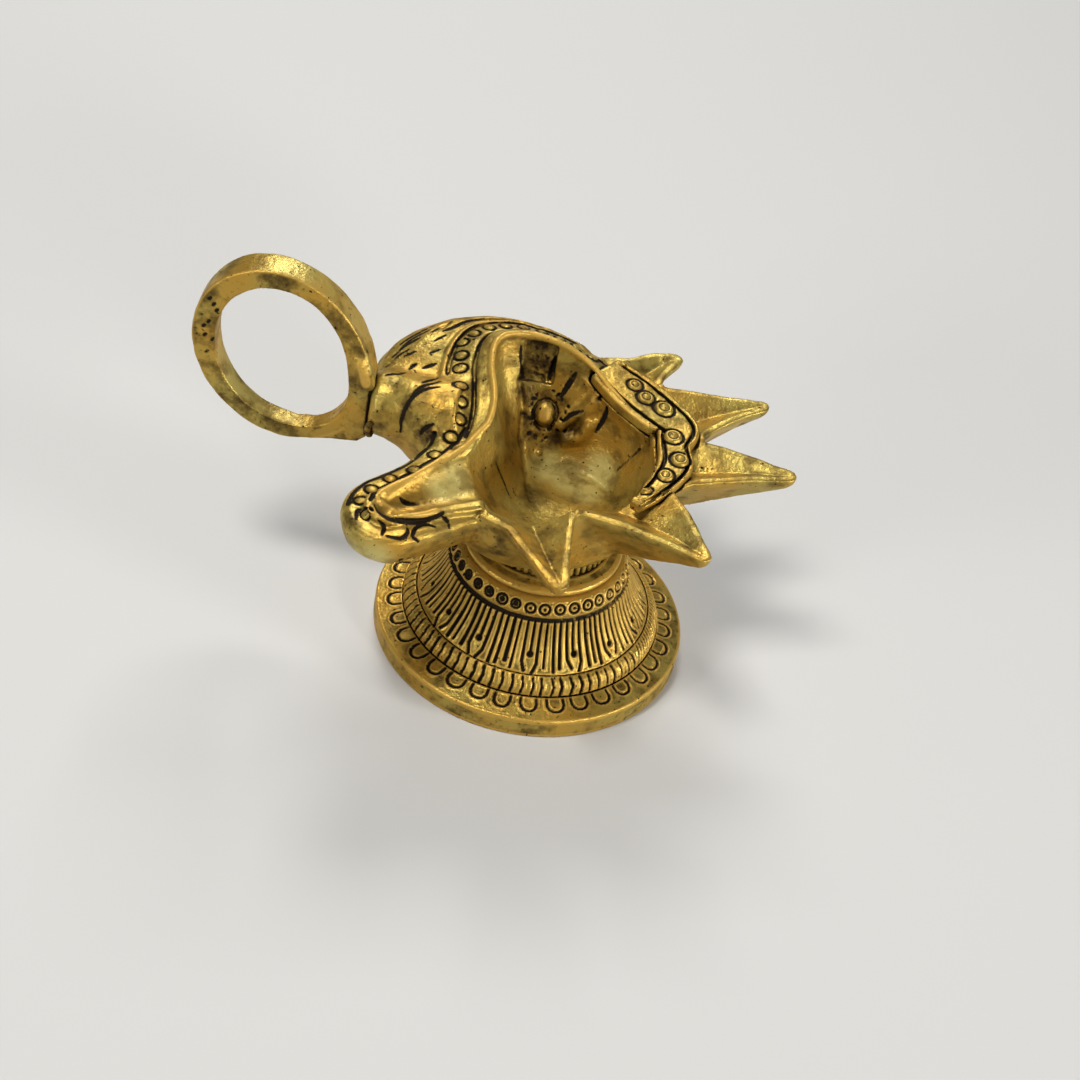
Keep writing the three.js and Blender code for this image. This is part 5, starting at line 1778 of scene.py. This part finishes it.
def chased_relief(angles, section):
    """Depth, soot and bright burrs of the chased marks at each place of the foot's surface. The burrs and the
    rim's edge carry a painted highlight, and soot and highlight are weighted round the foot as painted shade
    and painted light.
    """
    depth, soot, burr_and_highlight = (np.zeros((len(angles), len(section))) for _ in range(3))
    step = angles[1] - angles[0]
    outside = foot_run < run_at(*FOOT_OUTSIDE[-1])
    for line, half, deep in foot_marks:
        margin = half + MARK_MARGIN
        rows = np.flatnonzero((foot_run > line[:, 1].min() - margin)
                              & (foot_run < line[:, 1].max() + margin) & outside)
        r = section[rows, 0].mean()
        first = int(np.floor((line[:, 0].min() - margin / r) / step))
        last = int(np.ceil((line[:, 0].max() + margin / r) / step))
        steps = np.arange(first, last + 1)
        least = np.full((len(steps), len(rows)), 99.0)
        for p, q in zip(line[:-1], line[1:]):
            u, v = (steps[:, None] * step - p[0]) * r, foot_run[rows][None, :] - p[1]
            du, dv = (q[0] - p[0]) * r, q[1] - p[1]
            t = np.clip((u * du + v * dv) / max(du * du + dv * dv, 1e-9), 0, 1)
            least = np.minimum(least, np.hypot(u - t * du, v - t * dv))
        place = np.ix_(steps % len(angles), rows)
        depth[place] = np.maximum(depth[place], deep * np.clip(1.3 - least / half, 0, 1))
        soot[place] = np.maximum(soot[place], np.clip((half + 0.08 - least) / 0.22, 0, 1))
        burr_and_highlight[place] = np.maximum(burr_and_highlight[place], np.exp(-((least - half - 0.22) / 0.16) ** 2))
    burr_and_highlight *= 1 - soot
    # Painted highlight along the rim's edge, which is also raised a little
    rim_burr_and_highlight = 0.8 * np.exp(-((foot_run - run_at(*RIM_EDGE_PLACE)) / 0.2) ** 2)
    burr_and_highlight = np.maximum(burr_and_highlight, rim_burr_and_highlight[None, :])
    # Painted shade: more soot on the shaded side; painted highlight: brighter burrs on the other side
    kept = np.clip(0.68 + 0.42 * np.cos(angles - SHADED_SIDE), 0.42, 1)[:, None]
    side_highlight = np.clip(0.75 - 0.5 * np.cos(angles - SHADED_SIDE), 0.4, 1)[:, None]
    return depth - BURR_HEIGHT * burr_and_highlight, soot * kept, burr_and_highlight * side_highlight


def circle_blur(array, width, axis):
    """Blurs round a closed direction of a grid, by steps."""
    out = array
    for _ in range(width):
        out = 0.25 * np.roll(out, 1, axis) + 0.5 * out + 0.25 * np.roll(out, -1, axis)
    return out


BLUR_STEPS = 8
FULL_HOLLOW = 0.16


def turned_piece(name, section, around, relief=None):
    """Carries a closed section round the foot's axis, sunk by a relief along its own outward direction."""
    angles = np.arange(around) / around * 2 * math.pi
    forward = np.roll(section, -1, 0) - np.roll(section, 1, 0)
    forward /= np.linalg.norm(forward, axis=1, keepdims=True)
    out_r, out_z = forward[:, 1], -forward[:, 0]
    flat = np.zeros((around, len(section)))
    depth, soot, burr_and_highlight = relief(angles, section) if relief else (flat, flat, flat)
    r = section[None, :, 0] - depth * out_r
    z = section[None, :, 1] - depth * out_z + 0 * r
    points = np.stack([r * np.cos(angles)[:, None], r * np.sin(angles)[:, None], z], -1)
    index = np.arange(around * len(section)).reshape(around, -1)
    right, up = np.roll(index, -1, 0), np.roll(index, -1, 1)
    faces = np.stack([index, right, np.roll(right, -1, 1), up], -1).reshape(-1, 4)
    outward = np.stack([
        out_r * np.cos(angles)[:, None], out_r * np.sin(angles)[:, None], out_z + 0 * r,
    ], -1)
    mean = circle_blur(circle_blur(points, BLUR_STEPS, 0), BLUR_STEPS, 1)
    hidden = np.sum((mean - points) * outward, -1) / FULL_HOLLOW
    piece = mesh_piece(name, points.reshape(-1, 3), faces)
    mark(piece, "hollow", np.clip(1.5 * hidden, 0, 1.6))
    # Ridges turn bright, as wear and as painted highlight; the burrs carry a painted highlight
    mark(piece, "edge", np.clip(-1.8 * hidden, 0, 1))
    mark(piece, "soot", soot)
    mark(piece, "shine", np.clip(burr_and_highlight, 0, 1))
    return piece


# So many steps round keep the foot below 200,000 triangles
FOOT_STEPS = 620
foot = turned_piece("foot_turning", foot_section, FOOT_STEPS, chased_relief)
finish_piece(foot, turned_brass, "turned_brass", "foot_bell")
print("foot has", sum(len(p.vertices) - 2 for p in foot.data.polygons), "triangles")

# %% [markdown]
# ## Collar and neck
# Between foot and bowl sit a smooth rounded collar and a short neck with upright flutes. The collar is
# turned. The neck is a turned core with a ring of small ribs, and a Geometry Nodes tree carries one rib
# round the axis: a modelled row of fifty would be as good but slow to change.

# %% Collar and neck core
COLLAR = [
    (BORE, 23.0), (15.2, 23.0), (15.9, 23.3), (16.15, 23.85), (15.95, 24.4), (15.3, 24.85), (14.4, 25.05),
    (14.0, 25.2), (13.6, 25.45), (BORE, 25.5),
]
NECK_CORE = [(BORE, 25.6), (12.6, 25.6), (12.3, 26.2), (12.2, 27.0), (12.5, 28.2), (12.9, 28.6), (BORE, 28.6)]
COLLAR_STEPS = 160
NECK_STEPS = 120
collar_section = np.array(finely([*COLLAR, COLLAR[0]], 0.35))
collar = turned_piece("collar_turning", collar_section, COLLAR_STEPS)
finish_piece(collar, turned_brass, "turned_brass", "seat_collar")
neck_section = np.array(finely([*NECK_CORE, NECK_CORE[0]], 0.5))
neck = turned_piece("neck_core", neck_section, NECK_STEPS)
finish_piece(neck, turned_brass, "turned_brass", "fluted_neck")
print("collar and neck core turned")

# %% Tree that carries a shape round an axis
carry_round, given, result = new_tree("carry a shape round an axis", [
    ("Shape", "NodeSocketObject", None),
    ("Metal", "NodeSocketMaterial", None),
    ("Count", "NodeSocketInt", 12),
    ("Radius", "NodeSocketFloat", 0.01),
    ("Height", "NodeSocketFloat", 0.0),
    ("Tilt", "NodeSocketFloat", 0.0),
    ("Start", "NodeSocketFloat", 0.0),
    ("Centre", "NodeSocketVector", (0, 0, 0)),
])
number = put(carry_round, "GeometryNodeInputIndex").outputs[0]
share = reckon(carry_round, "DIVIDE", number, given["Count"])
turn = reckon(carry_round, "ADD", reckon(carry_round, "MULTIPLY", share, 2 * math.pi), given["Start"])
across = reckon(carry_round, "MULTIPLY", reckon(carry_round, "COSINE", turn), given["Radius"])
along = reckon(carry_round, "MULTIPLY", reckon(carry_round, "SINE", turn), given["Radius"])
spot = put(carry_round, "ShaderNodeCombineXYZ", {"X": across, "Y": along, "Z": given["Height"]}).outputs[0]
spot = put(carry_round, "ShaderNodeVectorMath", {0: spot, 1: given["Centre"]}, operation="ADD").outputs[0]
heading = put(carry_round, "ShaderNodeCombineXYZ", {"X": 0.0, "Y": given["Tilt"], "Z": turn}).outputs[0]
points = put(carry_round, "GeometryNodePoints", {"Count": given["Count"], "Position": spot})
shape = put(carry_round, "GeometryNodeObjectInfo", {"Object": given["Shape"]})
stood = put(carry_round, "GeometryNodeInstanceOnPoints", {
    "Points": points.outputs[0], "Instance": shape.outputs["Geometry"],
    "Rotation": put(carry_round, "FunctionNodeEulerToRotation", {"Euler": heading}).outputs[0],
    "Scale": (MM, MM, MM),
})
realize(carry_round, stood.outputs[0], given["Metal"], result)
print("tree with", len(carry_round.nodes), "nodes")

# %% Neck flutes
FLUTES = 54
FLUTE_RADIUS = 12.75
FLUTE_HEIGHT = 27.0
RIB_PROFILE = [
    (0, 1.35, 0, 0.5), (0.4, 1.3, 0.2, 0.5), (0.58, 1.0, 0, 0.6), (0.6, -1.0, 0, 0.5), (0.45, -1.3, 0.5, 0),
    (0, -1.35, 1, 0),
]
rib_shape = button("rib", RIB_PROFILE, 10)
flutes = grow("neck_flutes", bpy.data.meshes.new("no places"), carry_round, {
    "Shape": rib_shape, "Metal": turned_brass, "Count": FLUTES, "Radius": FLUTE_RADIUS * MM,
    "Height": FLUTE_HEIGHT * MM, "Tilt": 0.0, "Start": 0.0, "Centre": tuple(FOOT_AXIS),
})
finish_piece(flutes, turned_brass, "turned_brass")
print("flutes have", len(flutes.data.polygons), "faces")

# %% [markdown]
# ## Solder
# Where the ring was brazed to the spire, a rough line of solder is left. It is a row of small blobs of
# wax, melted together.

# %% Solder line
SOLDER_TURNS = np.radians(np.linspace(190, 240, 11))
SOLDER_REACH = 6.9
SOLDER_X = -37.9
SOLDER_RADII = (0.45, 0.7)
solder_wax = Wax((-40.5, -4.5, 36.5), (-35.5, 3.5, 47.5), 0.16)
blobs = np.random.default_rng(5)
for a in SOLDER_TURNS:
    blob = np.array([
        SOLDER_X + blobs.uniform(-0.3, 0.3),
        SPIRE_AXIS[0] + SPIRE_FLATTEN * SOLDER_REACH * math.cos(a),
        SPIRE_AXIS[1] + SOLDER_REACH * math.sin(a),
    ])
    chase(solder_wax, dot(blob), blobs.uniform(*SOLDER_RADII), 0.0, carve=False, fillet=0.5)
solder_wax.dent(0.7, 0.05, seed=9)
solder = mesh_piece("solder_line", *solder_wax.skin())
shelter(solder, solder_wax)
finish_piece(solder, hard_solder, "hard_solder", "braze_bead")
print("solder has", len(solder.data.polygons), "faces")

# %% [markdown]
# ## Floor and light
# The lamp stands on a plain pale floor under soft light, so that its metal has something quiet to
# reflect. Brass shows its lamps as small highlights, so they are few, soft and not too large. The camera
# sees a pale backdrop in place of the dimmer world, which Light Path tells apart.

# %% Floor and light
PALE = (0.52, 0.515, 0.50, 1)
PALE_BACKDROP = (0.62, 0.62, 0.61, 1)
WORLD_LOW = (0.10, 0.10, 0.11, 1)
WORLD_HIGH = (0.62, 0.64, 0.66, 1)
WORLD_STRENGTH = 0.23
LAMP_AIM = (0, 0, 0.04)
floor_mesh = bpy.data.meshes.new("floor")
floor_mesh.from_pydata([(-3, -3, 0), (3, -3, 0), (3, 3, 0), (-3, 3, 0)], [], [(0, 1, 2, 3)])
floor = bpy.data.objects.new("floor", floor_mesh)
bpy.context.scene.collection.objects.link(floor)
floor_paint = bpy.data.materials.new("floor_paint")
floor_paint.use_nodes = True
floor_paint.node_tree.nodes["Principled BSDF"].inputs["Base Color"].default_value = PALE
floor_paint.node_tree.nodes["Principled BSDF"].inputs["Roughness"].default_value = 0.9
floor_mesh.materials.append(floor_paint)

world = bpy.data.worlds.new("studio")
bpy.context.scene.world = world
world.use_nodes = True
world_tree = world.node_tree
sky = put(world_tree, "ShaderNodeTexCoord").outputs["Generated"]
climb = put(world_tree, "ShaderNodeSeparateXYZ", {"Vector": sky}).outputs["Z"]
ceiling = blend(world_tree, stretch(world_tree, climb, -0.1, 0.9), WORLD_LOW, WORLD_HIGH)
backdrop = put(world_tree, "ShaderNodeLightPath").outputs["Is Camera Ray"]
ceiling = blend(world_tree, backdrop, ceiling, PALE_BACKDROP)
world_tree.links.new(ceiling, world_tree.nodes["Background"].inputs["Color"])
brightness = stretch(world_tree, backdrop, 0, 1, WORLD_STRENGTH, 1.0)
world_tree.links.new(brightness, world_tree.nodes["Background"].inputs["Strength"])


def soft_box(name, place, size, power, warmth=(1, 1, 1), grid=None):
    """A square lamp with a cloth front, turned to the object. A grid of so many degrees keeps its light
    off the floor beside it, and leaves the object as bright as before."""
    data = bpy.data.lights.new(name, "AREA")
    data.size = size
    data.energy = power
    if grid:
        half = math.radians(grid / 2)
        data.spread = 2 * half
        data.energy = power * (1 - half / math.tan(half))
    data.color = warmth
    lamp = bpy.data.objects.new(name, data)
    bpy.context.scene.collection.objects.link(lamp)
    lamp.location = place
    lamp.rotation_mode = "QUATERNION"
    lamp.rotation_quaternion = (Vector(place) - Vector(LAMP_AIM)).to_track_quat("Z", "Y")
    return lamp


soft_box("key", (-0.30, -0.20, 0.95), 0.22, 6.4, (1, 0.98, 0.94))
soft_box("low right", (1.0, -0.22, 0.22), 0.2, 7.0, grid=80)
soft_box("front left", (-0.75, -0.75, 0.35), 0.18, 3.8, grid=80)
soft_box("front right", (0.72, -0.74, 0.30), 0.16, 5.4, grid=80)
soft_box("back", (-0.12, 0.80, 0.80), 0.36, 7.5)

scene = bpy.context.scene
scene.view_settings.view_transform = "Standard"
